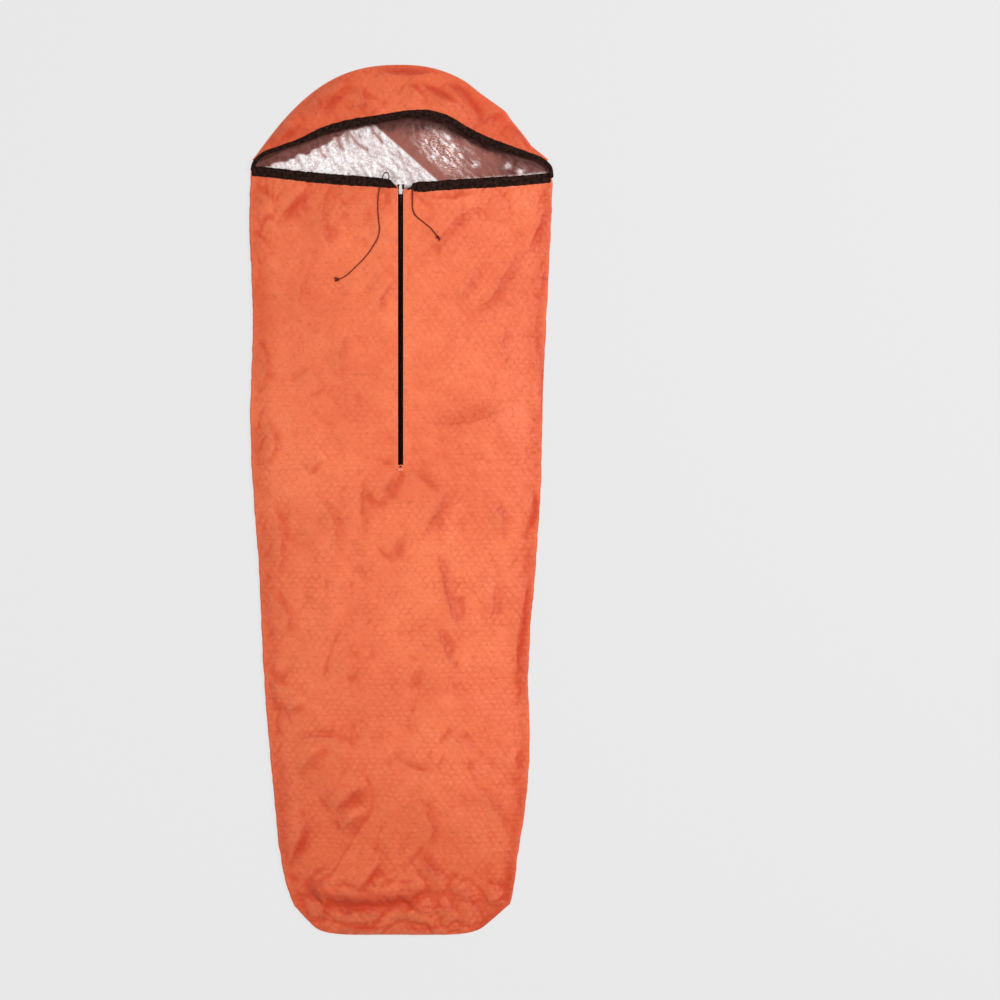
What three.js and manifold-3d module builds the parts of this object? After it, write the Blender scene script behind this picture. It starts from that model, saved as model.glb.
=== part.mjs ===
// Bivy sack: a mummy-shaped emergency bivy of metallised film, lying on its back, zipped up.
// It has a back panel, a front panel with a zipped slit, a hood, a foot panel and sealed seams
// between them. A soft binding round the mouth is a channel for a drawcord with two free ends.
// Millimetres, +Z up, head towards +Y, the wearer's right side towards -X.
// The origin is under the middle of the sack, on the surface that it lies on.
import * as THREE from "three";
import { mergeVertices } from "three/addons/utils/BufferGeometryUtils.js";
import Module from "manifold-3d";

const wasm = await Module();
wasm.setup();

// Driving dimensions of the sack.
const LENGTH = 2100;
const CROWN_Y = LENGTH / 2;
const FOOT_Y = -LENGTH / 2;
const SHOULDER_HALF = 362; // half the width at the corners of the mouth
const FOOT_HALF = 262; // half the width where the foot panel starts
const CORNER_Y = 800; // where the corners of the mouth are
const CROWN_START_Y = 815; // above this the hood's edge is a parabola
const FOOT_LINE_Y = -975; // the seam between the front panel and the foot panel
const CREST = 46; // height of the front film along the zip
const FOOT_CREST = 26; // height of the front film at the foot line
const CORNER_CREST = 16; // height of the front film at the corners of the mouth

// Film, seams and the gap kept between pieces that touch.
const FILM = 1.2;
const GAP = 0.4;
const SEAM_WIDTH = 12;
const SEAM_INSET = 2;
const BACK_EDGE = 6; // top of the back film at the outline
const BACK_RISE = 40; // width of the strip in which the back film rises to its edge
const SEAM_TOP = BACK_EDGE + GAP + FILM;
const FRONT_EDGE = SEAM_TOP + GAP + FILM; // top of the front film at the outline
const CROSS_CURVE = 2.6; // how square the front film's cross section is

// Zip, in the middle of the front.
const ZIP_BOTTOM_Y = 84;
const ZIP_TOP_Y = 745;
const SLIT_HALF = 6; // from the middle of the zip to the film's cut edge
const TAPE_INNER = 1.6;
const TAPE_OUTER = 13;
const TAPE = 0.6;
const COIL_INNER = 0.35;
const COIL_OUTER = 2.7;
const COIL_HEIGHT = 2;
const SLIDER_Y = 739;
const SLIDER_LENGTH = 13;
const SLIDER_HALF = 5.2;
const PLATE = 1;
const TAB_LENGTH = 15;
const TAB_HALF = 3.4;

// Drawcord and its channel round the mouth.
const CORD_RADIUS = 1.25;
const CHANNEL_HALF = 11; // half the binding's width
const CHANNEL_HALF_AT_CORNER = 5;
const CHANNEL_HALF_HEIGHT = 3;
const BORE_RADIUS = 2;
const CORD_SIDES = 8;

// Half the width at a few places between the foot line and the mouth.
const SIDE = [
  [FOOT_LINE_Y, FOOT_HALF],
  [-867, 286],
  [-722, 303],
  [-433, 320],
  [0, 345],
  [289, 352],
  [578, 360],
  [CORNER_Y, SHOULDER_HALF],
  [CROWN_START_Y, 358],
];
const CROWN_TIP_HALF = 30; // the hood's tip is cut off flat at this half width
const FOOT_END_HALF = 60;

// The two slanting folds of the front run from the zip's end to the corners of the mouth.
const FOLD_END_X = 355;
const FOLD_LEAN = FOLD_END_X / (CORNER_Y - ZIP_BOTTOM_Y);

const ORANGE = { color: 0xee7748, roughness: 0.42, metalness: 0 };
const ORANGE_FLAP = { color: 0xf07c4e, roughness: 0.42, metalness: 0 };
const SEAM_ORANGE = { color: 0xd25a30, roughness: 0.5, metalness: 0 };
const BLACK_CLOTH = { color: 0x231b1a, roughness: 0.85, metalness: 0 };
const BLACK_CORD = { color: 0x2a1d1a, roughness: 0.8, metalness: 0 };
const BLACK_NYLON = { color: 0x17120f, roughness: 0.5, metalness: 0 };
const ZINC = { color: 0xb9bbbd, roughness: 0.3, metalness: 1 };
const THREAD = { color: 0xf0a080, roughness: 0.8, metalness: 0 };

const group = new THREE.Group();

function addPiece(name, geometry, look) {
  const mesh = new THREE.Mesh(geometry, new THREE.MeshStandardMaterial(look));
  mesh.name = name;
  group.add(mesh);
  return mesh;
}

// ---------------------------------------------------------------- outline and surface heights

function halfWidth(y) {
  if (y > CROWN_START_Y) {
    const drop = (CROWN_Y - y) / (CROWN_Y - CROWN_START_Y);
    return Math.max(CROWN_TIP_HALF, SIDE.at(-1)[1] * Math.sqrt(drop));
  }
  if (y < FOOT_LINE_Y) {
    const down = Math.min(1, (FOOT_LINE_Y - y) / (FOOT_LINE_Y - FOOT_Y));
    return Math.max(FOOT_END_HALF, FOOT_HALF * Math.cbrt(1 - down ** 1.5));
  }
  const k = Math.max(1, SIDE.findIndex((s) => s[0] >= y));
  const [y0, w0] = SIDE[k - 1];
  const [y1, w1] = SIDE[k];
  return w0 + ((w1 - w0) * (y - y0)) / (y1 - y0);
}

// Height of the front film over the middle of the sack, below the zip.
function crestHeight(y) {
  return FOOT_CREST + (CREST - FOOT_CREST) * THREE.MathUtils.smoothstep(y, FOOT_LINE_Y, -600);
}

// The two flaps beside the zip are flat, and slope down from the zip to the corners.
function flapHeight(x) {
  return CREST - ((CREST - CORNER_CREST) * Math.abs(x)) / FOLD_END_X;
}

// Distance of the left fold from the middle of the sack at y.
function foldX(y) {
  return (y - ZIP_BOTTOM_Y) * FOLD_LEAN;
}

// ---------------------------------------------------------------- sheets, strips and channels

// A sheet is a list of triangles. Rows run from foot to head, and each row from -X to +X.
function sheetFromRows(rows) {
  const triangles = [];
  for (let i = 0; i + 1 < rows.length; i++) {
    for (let j = 0; j + 1 < rows[i].length; j++) {
      const a = rows[i][j];
      const b = rows[i][j + 1];
      const c = rows[i + 1][j + 1];
      const d = rows[i + 1][j];
      triangles.push([a, b, c], [a, c, d]);
    }
  }
  return triangles;
}

// A flat sheet cut to an outline, lifted to the height that heightAt gives.
function sheetFromOutline(outline, heightAt) {
  const flat = outline.map(([x, y]) => new THREE.Vector2(x, y));
  const lifted = outline.map(([x, y]) => new THREE.Vector3(x, y, heightAt(x)));
  return THREE.ShapeUtils.triangulateShape(flat, []).map((face) => face.map((k) => lifted[k]));
}

function mirrorSheet(triangles) {
  const flip = (p) => new THREE.Vector3(-p.x, p.y, p.z);
  return triangles.map(([a, b, c]) => [flip(a), flip(c), flip(b)]);
}

// A closed solid under a sheet: the sheet, its copy lower down, and a wall along every free edge.
function thicken(triangles, thickness) {
  const key = (p) => [p.x, p.y, p.z].map((v) => v.toFixed(3)).join();
  const corners = new Map();
  const top = [];
  const indexOf = (p) => {
    const k = key(p);
    if (!corners.has(k)) {
      corners.set(k, top.length);
      top.push(p);
    }
    return corners.get(k);
  };
  const faces = triangles.map((t) => {
    const [a, b, c] = t.map(indexOf);
    const [p, q, r] = t;
    const up = (q.x - p.x) * (r.y - p.y) - (q.y - p.y) * (r.x - p.x);
    return up > 0 ? [a, b, c] : [a, c, b];
  });
  const edges = new Set();
  for (const [a, b, c] of faces) {
    edges.add(`${a},${b}`);
    edges.add(`${b},${c}`);
    edges.add(`${c},${a}`);
  }
  const low = top.length;
  const index = [];
  for (const [a, b, c] of faces) {
    index.push(a, b, c, low + a, low + c, low + b);
  }
  for (const edge of edges) {
    const [a, b] = edge.split(",").map(Number);
    if (!edges.has(`${b},${a}`)) {
      index.push(b, a, low + a, b, low + a, low + b);
    }
  }
  const bottom = top.map((p) => new THREE.Vector3(p.x, p.y, p.z - thickness));
  return new THREE.BufferGeometry().setFromPoints([...top, ...bottom]).setIndex(index);
}

// A flat strip that keeps inside a line of points, such as the sealed edge of two films.
function stripInside(line, inwards, z) {
  const rows = line.map((p, k) => {
    const before = line[Math.max(0, k - 1)];
    const after = line[Math.min(line.length - 1, k + 1)];
    const along = new THREE.Vector2(after[0] - before[0], after[1] - before[1]).normalize();
    const side = new THREE.Vector2(-along.y, along.x).multiplyScalar(inwards);
    const at = (d) => new THREE.Vector3(p[0] + side.x * d, p[1] + side.y * d, z);
    return [at(SEAM_INSET), at(SEAM_INSET + SEAM_WIDTH)];
  });
  return thicken(sheetFromRows(rows), FILM);
}

// A flattened tube with a round bore, open at both ends, through stations that run from -X to +X.
// Each station has a centre and the vector from there to the binding's upper edge.
function channel(stations) {
  const outer = [];
  const inner = [];
  for (const { centre, side } of stations) {
    const half = side.length();
    const across = side.clone().normalize();
    const flat = half - 0.6 * CHANNEL_HALF_HEIGHT;
    const lip = 0.35 * CHANNEL_HALF_HEIGHT;
    const section = [
      [half, -lip],
      [half, lip],
      [flat, CHANNEL_HALF_HEIGHT],
      [-flat, CHANNEL_HALF_HEIGHT],
      [-half, lip],
      [-half, -lip],
      [-flat, -CHANNEL_HALF_HEIGHT],
      [flat, -CHANNEL_HALF_HEIGHT],
    ];
    const at = (s, h) => centre.clone().addScaledVector(across, s).add(new THREE.Vector3(0, 0, h));
    outer.push(section.map(([s, h]) => at(s, h)));
    inner.push(
      section.map((_, k) => {
        const angle = ((k - 0.5) * 2 * Math.PI) / section.length;
        return at(BORE_RADIUS * Math.cos(angle), BORE_RADIUS * Math.sin(angle));
      }),
    );
  }
  const n = outer[0].length;
  const points = [...outer.flat(), ...inner.flat()];
  const bore = outer.length * n;
  const last = (outer.length - 1) * n;
  const index = [];
  const quad = (a, b, c, d) => index.push(a, b, c, a, c, d);
  for (let k = 0; k < n; k++) {
    const l = (k + 1) % n;
    for (let i = 0; i < last; i += n) {
      quad(i + k, i + l, i + n + l, i + n + k);
      quad(bore + i + k, bore + i + n + k, bore + i + n + l, bore + i + l);
    }
    quad(k, bore + k, bore + l, l);
    quad(last + k, last + l, bore + last + l, bore + last + k);
  }
  return new THREE.BufferGeometry().setFromPoints(points).setIndex(index);
}

// A plain round cord along a smooth curve through the points.
function cordAlong(points, steps) {
  const section = Array.from({ length: CORD_SIDES }, (_, k) => {
    const angle = (k * 2 * Math.PI) / CORD_SIDES;
    return new THREE.Vector2(Math.cos(angle), Math.sin(angle)).multiplyScalar(CORD_RADIUS);
  });
  return new THREE.ExtrudeGeometry(new THREE.Shape(section), {
    steps,
    bevelEnabled: false,
    extrudePath: new THREE.CatmullRomCurve3(points, false, "centripetal"),
  });
}

function boxAt(width, length, height, x, y, z) {
  return new THREE.BoxGeometry(width, length, height).translate(x, y, z);
}

// Joins overlapping closed geometries into one solid.
function join(geometries) {
  const solids = geometries.map((geometry) => {
    const bare = geometry.clone();
    bare.deleteAttribute("normal");
    bare.deleteAttribute("uv");
    const merged = mergeVertices(bare, 1e-4);
    return new wasm.Manifold(
      new wasm.Mesh({
        numProp: 3,
        vertProperties: merged.attributes.position.array,
        triVerts: new Uint32Array(merged.index.array),
      }),
    );
  });
  const mesh = solids.reduce((a, b) => a.add(b)).getMesh();
  return new THREE.BufferGeometry()
    .setAttribute("position", new THREE.BufferAttribute(mesh.vertProperties, 3))
    .setIndex(new THREE.BufferAttribute(mesh.triVerts, 1));
}

// ---------------------------------------------------------------- back, front, hood and foot

function backPanel() {
  const stations = [
    FOOT_Y, -1036, -1018, -995, FOOT_LINE_Y, -930, -867, -722, -433, -150, 100, 350, 578,
    CORNER_Y, CROWN_START_Y, 870, 925, 965, 995, 1015, 1034, CROWN_Y,
  ];
  const rows = stations.map((y) => {
    const w = halfWidth(y);
    const fromEnd = Math.min(CROWN_Y - y, y - FOOT_Y);
    const across = [w, w - 14, w - 26, w - BACK_RISE * 0.98];
    const xs = [...across.map((x) => -Math.max(x, 2)), ...across.reverse().map((x) => Math.max(x, 2))];
    return xs.map((x) => {
      const fromEdge = Math.min(w - Math.abs(x), fromEnd);
      const rise = Math.max(0, 1 - fromEdge / BACK_RISE);
      return new THREE.Vector3(x, y, FILM + (BACK_EDGE - FILM) * rise ** 1.5);
    });
  });
  return thicken(sheetFromRows(rows), FILM);
}

// Points from the inner edge of the left half of the front out to the side seam.
function frontRow(y, innerX, innerZ) {
  const w = halfWidth(y);
  return [1, 0.92, 0.8, 0.62, 0.36, 0].map((u) => {
    const x = -(innerX + (w - innerX) * u);
    return new THREE.Vector3(x, y, FRONT_EDGE + (innerZ - FRONT_EDGE) * (1 - u ** CROSS_CURVE));
  });
}

// The front film below the zip, with the two wedges that reach up beside the flaps.
function frontPanel() {
  const below = [FOOT_LINE_Y + GAP, -940, -880, -800, -700, -560, -400, -200, -50];
  const above = [180, 300, 420, 540, 660, 750, 786];
  const left = sheetFromRows([
    ...below.map((y) => frontRow(y, 0, crestHeight(y))),
    frontRow(ZIP_BOTTOM_Y, 0, CREST),
    ...above.map((y) => frontRow(y, foldX(y) + GAP, flapHeight(foldX(y)))),
  ]);
  return thicken([...left, ...mirrorSheet(left)], FILM);
}

function footPanel() {
  const stations = [FOOT_Y, -1042, -1028, -1008, FOOT_LINE_Y - GAP];
  const rows = stations.map((y) => {
    const w = halfWidth(y);
    const down = (FOOT_LINE_Y - y) / (FOOT_LINE_Y - FOOT_Y);
    const crest = FRONT_EDGE + (FOOT_CREST - FRONT_EDGE) * (1 - down ** 2);
    return [-1, -0.92, -0.8, -0.62, -0.36, 0, 0.36, 0.62, 0.8, 0.92, 1].map((u) => {
      const z = FRONT_EDGE + (crest - FRONT_EDGE) * (1 - Math.abs(u) ** CROSS_CURVE);
      return new THREE.Vector3(u * w, y, z);
    });
  });
  return thicken(sheetFromRows(rows), FILM);
}

// The middle line of the hood's binding, seen from above. It peaks a little to one side.
const HOOD_RIM = new THREE.CatmullRomCurve3(
  [
    [-343, 813],
    [-243, 861],
    [-128, 906],
    [22, 921],
    [105, 912],
    [200, 866],
    [287, 830],
    [343, 813],
  ].map(([x, y]) => {
    const across = x / 343;
    return new THREE.Vector3(x, y, 14 + 26 * Math.pow(1 - across * across, 0.8));
  }),
  false,
  "centripetal",
);
const HOOD_STEPS = 28;

function channelHalfAt(fromCorner) {
  const wide = THREE.MathUtils.smoothstep(fromCorner, 0, 0.3);
  return CHANNEL_HALF_AT_CORNER + (CHANNEL_HALF - CHANNEL_HALF_AT_CORNER) * wide;
}

// Stations along a curve, with the side vector level and square to the curve.
function stationsAlong(curve, steps, halfAt) {
  return curve.getSpacedPoints(steps).map((centre, k, all) => {
    const before = all[Math.max(0, k - 1)];
    const after = all[Math.min(steps, k + 1)];
    const side = new THREE.Vector3(before.y - after.y, after.x - before.x, 0);
    if (side.y < 0) {
      side.negate();
    }
    return { centre, side: side.setLength(halfAt(k / steps)) };
  });
}

const HOOD_STATIONS = stationsAlong(HOOD_RIM, HOOD_STEPS, (t) =>
  channelHalfAt(2 * Math.min(t, 1 - t)),
);

function hoodFrontPanel() {
  const columns = HOOD_STATIONS.map(({ centre, side }) => {
    const out = side.clone().setLength(side.length() + GAP);
    const from = centre.clone().add(out);
    const x = (centre.x / 343) * 357;
    const y = CROWN_Y - (CROWN_Y - CROWN_START_Y) * (x / SIDE.at(-1)[1]) ** 2;
    return [0, 0.3, 0.58, 0.82, 1].map((v) => {
      const point = from.clone().lerp(new THREE.Vector3(x, y, 0), v);
      point.z = from.z + (FRONT_EDGE - from.z) * v ** 2.2;
      return point;
    });
  });
  const rows = columns[0].map((_, v) => columns.map((column) => column[v]));
  return thicken(sheetFromRows(rows), FILM);
}

function addFilms() {
  addPiece("back_panel", backPanel(), ORANGE);
  addPiece("front_panel", frontPanel(), ORANGE);
  addPiece("foot_panel", footPanel(), ORANGE);
  addPiece("hood_front_panel", hoodFrontPanel(), ORANGE);
}

function addSeams() {
  const sideYs = [-962, -900, -800, -650, -433, -150, 150, 450, 650, 790];
  for (const [hand, side] of [["left", -1], ["right", 1]]) {
    const line = sideYs.map((y) => [side * halfWidth(y), y]);
    addPiece(`side_seam_${hand}`, stripInside(line, side, SEAM_TOP), SEAM_ORANGE);
  }
  const crown = Array.from({ length: 25 }, (_, k) => {
    const x = -345 + (690 * k) / 24;
    return [x, CROWN_Y - (CROWN_Y - CROWN_START_Y) * (x / SIDE.at(-1)[1]) ** 2];
  });
  addPiece("crown_seam", stripInside(crown, -1, SEAM_TOP), SEAM_ORANGE);
  const footYs = [-978, -1000, -1020, -1036, -1046];
  const footRight = footYs.map((y) => [halfWidth(y), y]);
  const foot = [...footRight, ...footRight.toReversed().map(([x, y]) => [-x, y])];
  addPiece("foot_seam", stripInside(foot, -1, SEAM_TOP), SEAM_ORANGE);
}

// ---------------------------------------------------------------- flaps, binding and drawcord

// The middle line of the left flap's binding, from the corner of the mouth to the zip.
const FLAP_RIM = new THREE.QuadraticBezierCurve3(
  new THREE.Vector3(-338, 793, flapHeight(338)),
  new THREE.Vector3(-182, 768, flapHeight(182)),
  new THREE.Vector3(-23, 759, flapHeight(23)),
);
const FLAP_STEPS = 12;

const FLAP_STATIONS = stationsAlong(FLAP_RIM, FLAP_STEPS, (t) => channelHalfAt(1.4 * t));
// The binding is cut slanting beside the zip.
FLAP_STATIONS.at(-1).side.set(-CHANNEL_HALF, CHANNEL_HALF, flapHeight(CHANNEL_HALF) - CREST);

// The flap's film: from the zip out to the fold, and up to the underside of the binding.
function flapFilm() {
  const tipY = ZIP_BOTTOM_Y + (SLIT_HALF + 2 * GAP) / FOLD_LEAN;
  const underRim = FLAP_STATIONS.slice(0, -1).toReversed().map(({ centre, side }) => {
    const edge = centre.clone().addScaledVector(side, -(1 + GAP / side.length()));
    return [edge.x, edge.y];
  });
  const topY = underRim.at(-1)[1];
  const outline = [
    [-SLIT_HALF, tipY],
    [-SLIT_HALF, ZIP_TOP_Y - 5],
    [-15, ZIP_TOP_Y + 1],
    ...underRim,
    [-foldX(topY - 3) + GAP, topY - 3],
  ];
  return sheetFromOutline(outline, flapHeight);
}

function tapeSheet() {
  const lowY = ZIP_BOTTOM_Y + (TAPE_OUTER + 2) / FOLD_LEAN;
  const outline = [
    [-TAPE_INNER, 100],
    [-TAPE_INNER, 756],
    [-9, 756],
    [-9, ZIP_TOP_Y - 3],
    [-TAPE_OUTER, ZIP_TOP_Y - 9],
    [-TAPE_OUTER, lowY],
    [-6, 100],
  ];
  return sheetFromOutline(outline, (x) => flapHeight(x) - FILM - GAP);
}

const COIL_BOTTOM = CREST - FILM - 0.1;
const COIL_LOW_Y = 90;
const COIL_TOP_Y = SLIDER_Y - 4;

function coilBar(side) {
  const width = COIL_OUTER - COIL_INNER;
  const x = (side * (COIL_OUTER + COIL_INNER)) / 2;
  const length = COIL_TOP_Y - COIL_LOW_Y;
  const y = (COIL_TOP_Y + COIL_LOW_Y) / 2;
  return boxAt(width, length, COIL_HEIGHT, x, y, COIL_BOTTOM + COIL_HEIGHT / 2);
}

function mirrorStations(stations) {
  const flip = new THREE.Vector3(-1, 1, 1);
  return stations.toReversed().map(({ centre, side }) => ({
    centre: centre.clone().multiply(flip),
    side: side.clone().multiply(flip),
  }));
}

// The free ends of the drawcord. Each lies on its flap, and its knot lies at its end.
const ON_FILM = CORD_RADIUS + 0.3;
const ON_RIM = CHANNEL_HALF_HEIGHT + CORD_RADIUS + 0.6;
const TAIL_LEFT = [
  [-19, 762, 0],
  [-15.5, 767, 0.8],
  [-17, 774, 2.5],
  [-23, 780, 4],
  [-31, 783, ON_RIM],
  [-38, 779, ON_RIM],
  [-43, 770, ON_RIM],
  [-47, 758, ON_RIM],
  [-50, 746, ON_RIM],
  [-53, 734, ON_FILM],
  [-54.5, 708, ON_FILM],
  [-53, 674, ON_FILM],
  [-50.5, 648, ON_FILM],
  [-54, 630, ON_FILM],
  [-64, 612, ON_FILM],
  [-75, 595, ON_FILM],
  [-92, 575, ON_FILM],
  [-113, 554, ON_FILM],
  [-131, 538, ON_FILM],
  [-146, 530, ON_FILM],
];
const TAIL_RIGHT = [
  [34, 765, ON_RIM],
  [29.5, 756, ON_RIM],
  [27, 745, ON_RIM],
  [26.5, 733, ON_FILM],
  [28, 715, ON_FILM],
  [29, 698, ON_FILM],
  [33.5, 685, ON_FILM],
  [41, 676, ON_FILM],
  [50, 669, ON_FILM],
  [61, 660, ON_FILM],
  [71.5, 651.5, ON_FILM],
  [80, 641.5, ON_FILM],
  [85.5, 634, ON_FILM],
];
const KNOT_LEFT = [-151.6, 529.2];
const KNOT_RIGHT = [89.2, 629.2];
const KNOT_RADIUS = 4.2;
const KNOT_FLATNESS = 0.75;

function onFlap(route) {
  return route.map(([x, y, up]) => new THREE.Vector3(x, y, flapHeight(x) + up));
}

function knot([x, y]) {
  const z = flapHeight(x) + KNOT_RADIUS * KNOT_FLATNESS + GAP;
  return new THREE.IcosahedronGeometry(KNOT_RADIUS, 1).scale(1, 1, KNOT_FLATNESS).translate(x, y, z);
}

function addFlaps() {
  const film = flapFilm();
  const tape = tapeSheet();
  const bothSides = [
    ["left", -1, film, tape, FLAP_STATIONS],
    ["right", 1, mirrorSheet(film), mirrorSheet(tape), mirrorStations(FLAP_STATIONS)],
  ];
  const tails = {
    left: { route: TAIL_LEFT, steps: 40, knotAt: KNOT_LEFT },
    right: { route: TAIL_RIGHT, steps: 22, knotAt: KNOT_RIGHT },
  };
  for (const [hand, side, sheet, ribbon, stations] of bothSides) {
    const { route, steps, knotAt } = tails[hand];
    addPiece(`front_flap_${hand}`, thicken(sheet, FILM), ORANGE_FLAP);
    addPiece(`mouth_rim_${hand}`, channel(stations), BLACK_CLOTH);
    addPiece(`drawcord_${hand}`, cordAlong(stations.map((s) => s.centre), FLAP_STEPS), BLACK_CORD);
    addPiece(`drawcord_tail_${hand}`, cordAlong(onFlap(route), steps), BLACK_CORD);
    addPiece(`cord_knot_${hand}`, knot(knotAt), BLACK_CORD);
    addPiece(`zipper_tape_${hand}`, thicken(ribbon, TAPE), BLACK_NYLON);
    addPiece(`zipper_coil_${hand}`, coilBar(side), BLACK_NYLON);
    const stopY = SLIDER_Y + SLIDER_LENGTH / 2 + 2.5;
    const stop = boxAt(2.4, 3, 1.8, side * 3.2, stopY, CREST - FILM - GAP + 1.2);
    addPiece(`zipper_top_stop_${hand}`, stop, ZINC);
  }
}

function addHoodRim() {
  addPiece("hood_rim", channel(HOOD_STATIONS), BLACK_CLOTH);
  addPiece("drawcord_hood", cordAlong(HOOD_STATIONS.map((s) => s.centre), HOOD_STEPS), BLACK_CORD);
}

// ---------------------------------------------------------------- zip ends, slider and pull tab

function addZipEnd() {
  addPiece("zipper_bottom_stop", boxAt(5, 3.4, 1.8, 0, 80, CREST + GAP + 0.9), ZINC);
  addPiece("zipper_bartack", boxAt(18, 3, 0.8, 0, 72, CREST + GAP + 0.4), THREAD);
}

// A slider plate: wide at the mouth end, narrow at the other.
function plate(z) {
  const half = SLIDER_LENGTH / 2;
  const outline = [
    [-SLIDER_HALF + 1.4, -half],
    [SLIDER_HALF - 1.4, -half],
    [SLIDER_HALF - 0.6, 0],
    [SLIDER_HALF, half - 2.5],
    [SLIDER_HALF - 2, half],
    [-SLIDER_HALF + 2, half],
    [-SLIDER_HALF, half - 2.5],
    [-SLIDER_HALF + 0.6, 0],
  ].map(([x, y]) => new THREE.Vector2(x, y));
  const solid = new THREE.ExtrudeGeometry(new THREE.Shape(outline), { depth: PLATE, bevelEnabled: false });
  return solid.translate(0, SLIDER_Y, z);
}

const LOWER_PLATE = CREST - FILM - 2 * GAP - TAPE - 0.5 - PLATE;
const UPPER_PLATE = COIL_BOTTOM + COIL_HEIGHT + GAP;
const TAB_AXIS_Z = UPPER_PLATE + PLATE + 1.3;

// The bridge is an arch over the upper plate, and the pull tab hangs on it.
function bridge() {
  const arch = [
    [-5, 0],
    [-5, 1.8],
    [-3.8, 3.2],
    [3.8, 3.2],
    [5, 1.8],
    [5, 0],
    [4, 0],
    [4, 1.4],
    [3.2, 2.3],
    [-3.2, 2.3],
    [-4, 1.4],
    [-4, 0],
  ].map(([y, z]) => new THREE.Vector2(y, z));
  const width = 2.4;
  const solid = new THREE.ExtrudeGeometry(new THREE.Shape(arch), { depth: width, bevelEnabled: false });
  // The arch is drawn in its own XY, and turned to stand in the sack's YZ.
  const turn = new THREE.Matrix4().makeBasis(
    new THREE.Vector3(0, 1, 0),
    new THREE.Vector3(0, 0, 1),
    new THREE.Vector3(1, 0, 0),
  );
  return solid.applyMatrix4(turn).translate(-width / 2, SLIDER_Y, UPPER_PLATE + PLATE - 0.1);
}

function slider() {
  const postHeight = UPPER_PLATE - LOWER_PLATE;
  const post = boxAt(1.8, 4.6, postHeight, 0, SLIDER_Y + 2.8, LOWER_PLATE + PLATE / 2 + postHeight / 2);
  const flangeLow = CREST - FILM + 0.2;
  const flangeHeight = UPPER_PLATE + 0.2 - flangeLow;
  const flanges = [-1, 1].map((side) => {
    const x = side * (SLIDER_HALF - 1.4);
    return boxAt(0.8, SLIDER_LENGTH - 4, flangeHeight, x, SLIDER_Y, flangeLow + flangeHeight / 2);
  });
  return join([plate(LOWER_PLATE), plate(UPPER_PLATE), post, ...flanges, bridge()]);
}

// The pull tab lies towards the hood. Its window is clear of the bridge when it is thrown over.
function pullTab() {
  const outline = new THREE.Shape(
    [
      [TAB_HALF - 0.6, -0.6],
      [TAB_HALF, 1],
      [TAB_HALF, TAB_LENGTH - 2],
      [TAB_HALF - 1.6, TAB_LENGTH],
      [-TAB_HALF + 1.6, TAB_LENGTH],
      [-TAB_HALF, TAB_LENGTH - 2],
      [-TAB_HALF, 1],
      [-TAB_HALF + 0.6, -0.6],
    ].map(([x, y]) => new THREE.Vector2(x, y)),
  );
  const window = [
    [-1.9, 0.6],
    [1.9, 0.6],
    [1.9, 6],
    [-1.9, 6],
  ].map(([x, y]) => new THREE.Vector2(x, y));
  outline.holes.push(new THREE.Path(window));
  const thickness = 1.1;
  const solid = new THREE.ExtrudeGeometry(outline, { depth: thickness, bevelEnabled: false });
  return solid.translate(0, SLIDER_Y, TAB_AXIS_Z - thickness / 2);
}

addFilms();
addSeams();
addHoodRim();
addFlaps();
addZipEnd();
addPiece("zipper_slider", slider(), ZINC);
addPiece("pull_tab", pullTab(), ZINC);

export default group;
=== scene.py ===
"""Bivy sack: the looks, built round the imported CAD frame. Lengths are millimetres until a mesh is made.

The sack lies on its back with the hood towards +Y. Its films are wrinkled sheets, orange outside
and silver inside, with a ruched binding round the mouth, a zip down the middle and a drawcord.
"""

import math

import bpy
import numpy as np
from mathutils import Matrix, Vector


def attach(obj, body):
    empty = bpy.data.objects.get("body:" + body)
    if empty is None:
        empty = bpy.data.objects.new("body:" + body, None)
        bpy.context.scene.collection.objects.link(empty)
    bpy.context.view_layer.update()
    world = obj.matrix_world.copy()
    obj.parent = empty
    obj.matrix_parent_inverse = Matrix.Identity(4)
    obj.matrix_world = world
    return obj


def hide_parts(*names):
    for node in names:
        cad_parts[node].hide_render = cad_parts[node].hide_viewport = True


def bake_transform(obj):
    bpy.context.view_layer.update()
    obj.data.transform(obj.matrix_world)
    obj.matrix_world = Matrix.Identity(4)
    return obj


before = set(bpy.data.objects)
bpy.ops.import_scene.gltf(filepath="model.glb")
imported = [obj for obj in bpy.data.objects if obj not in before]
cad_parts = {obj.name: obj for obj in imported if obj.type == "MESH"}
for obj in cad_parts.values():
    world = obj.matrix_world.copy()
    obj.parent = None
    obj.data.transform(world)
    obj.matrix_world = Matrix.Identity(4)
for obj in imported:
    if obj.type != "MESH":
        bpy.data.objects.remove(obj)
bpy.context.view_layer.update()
MM = 0.001

# The sack's main sizes, as in the CAD.
CROWN_Y = 1050
CROWN_DROP = 232
CROWN_LOW_Y = CROWN_Y - CROWN_DROP
CROWN_LEFT = 361
CROWN_RIGHT = 338
MOUTH_HALF = 362
FOOT_Y = -1049
FOOT_LINE_Y = -975
FOOT_HALF = 262
CREST = 46
FOOT_CREST = 26
EDGE_Z = 9.2
EDGE_LOW = 2.4
FILM = 0.7
ROLL = 4

# Zip.
ZIP_BOTTOM_Y = 84
BARTACK_Y = 72
SLIT_HALF = 6.3
TAPE_LOW_Y = 80
TAPE_TOP_Y = 756
COIL_LOW_Y = 90
COIL_TOP_Y = 735
TOOTH_PITCH = 2.2
TOOTH_RADIUS = 0.42
TAPE_HALF = 12.5
TAPE_DROP = 1.55
TAPE_THICK = 0.5

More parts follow.
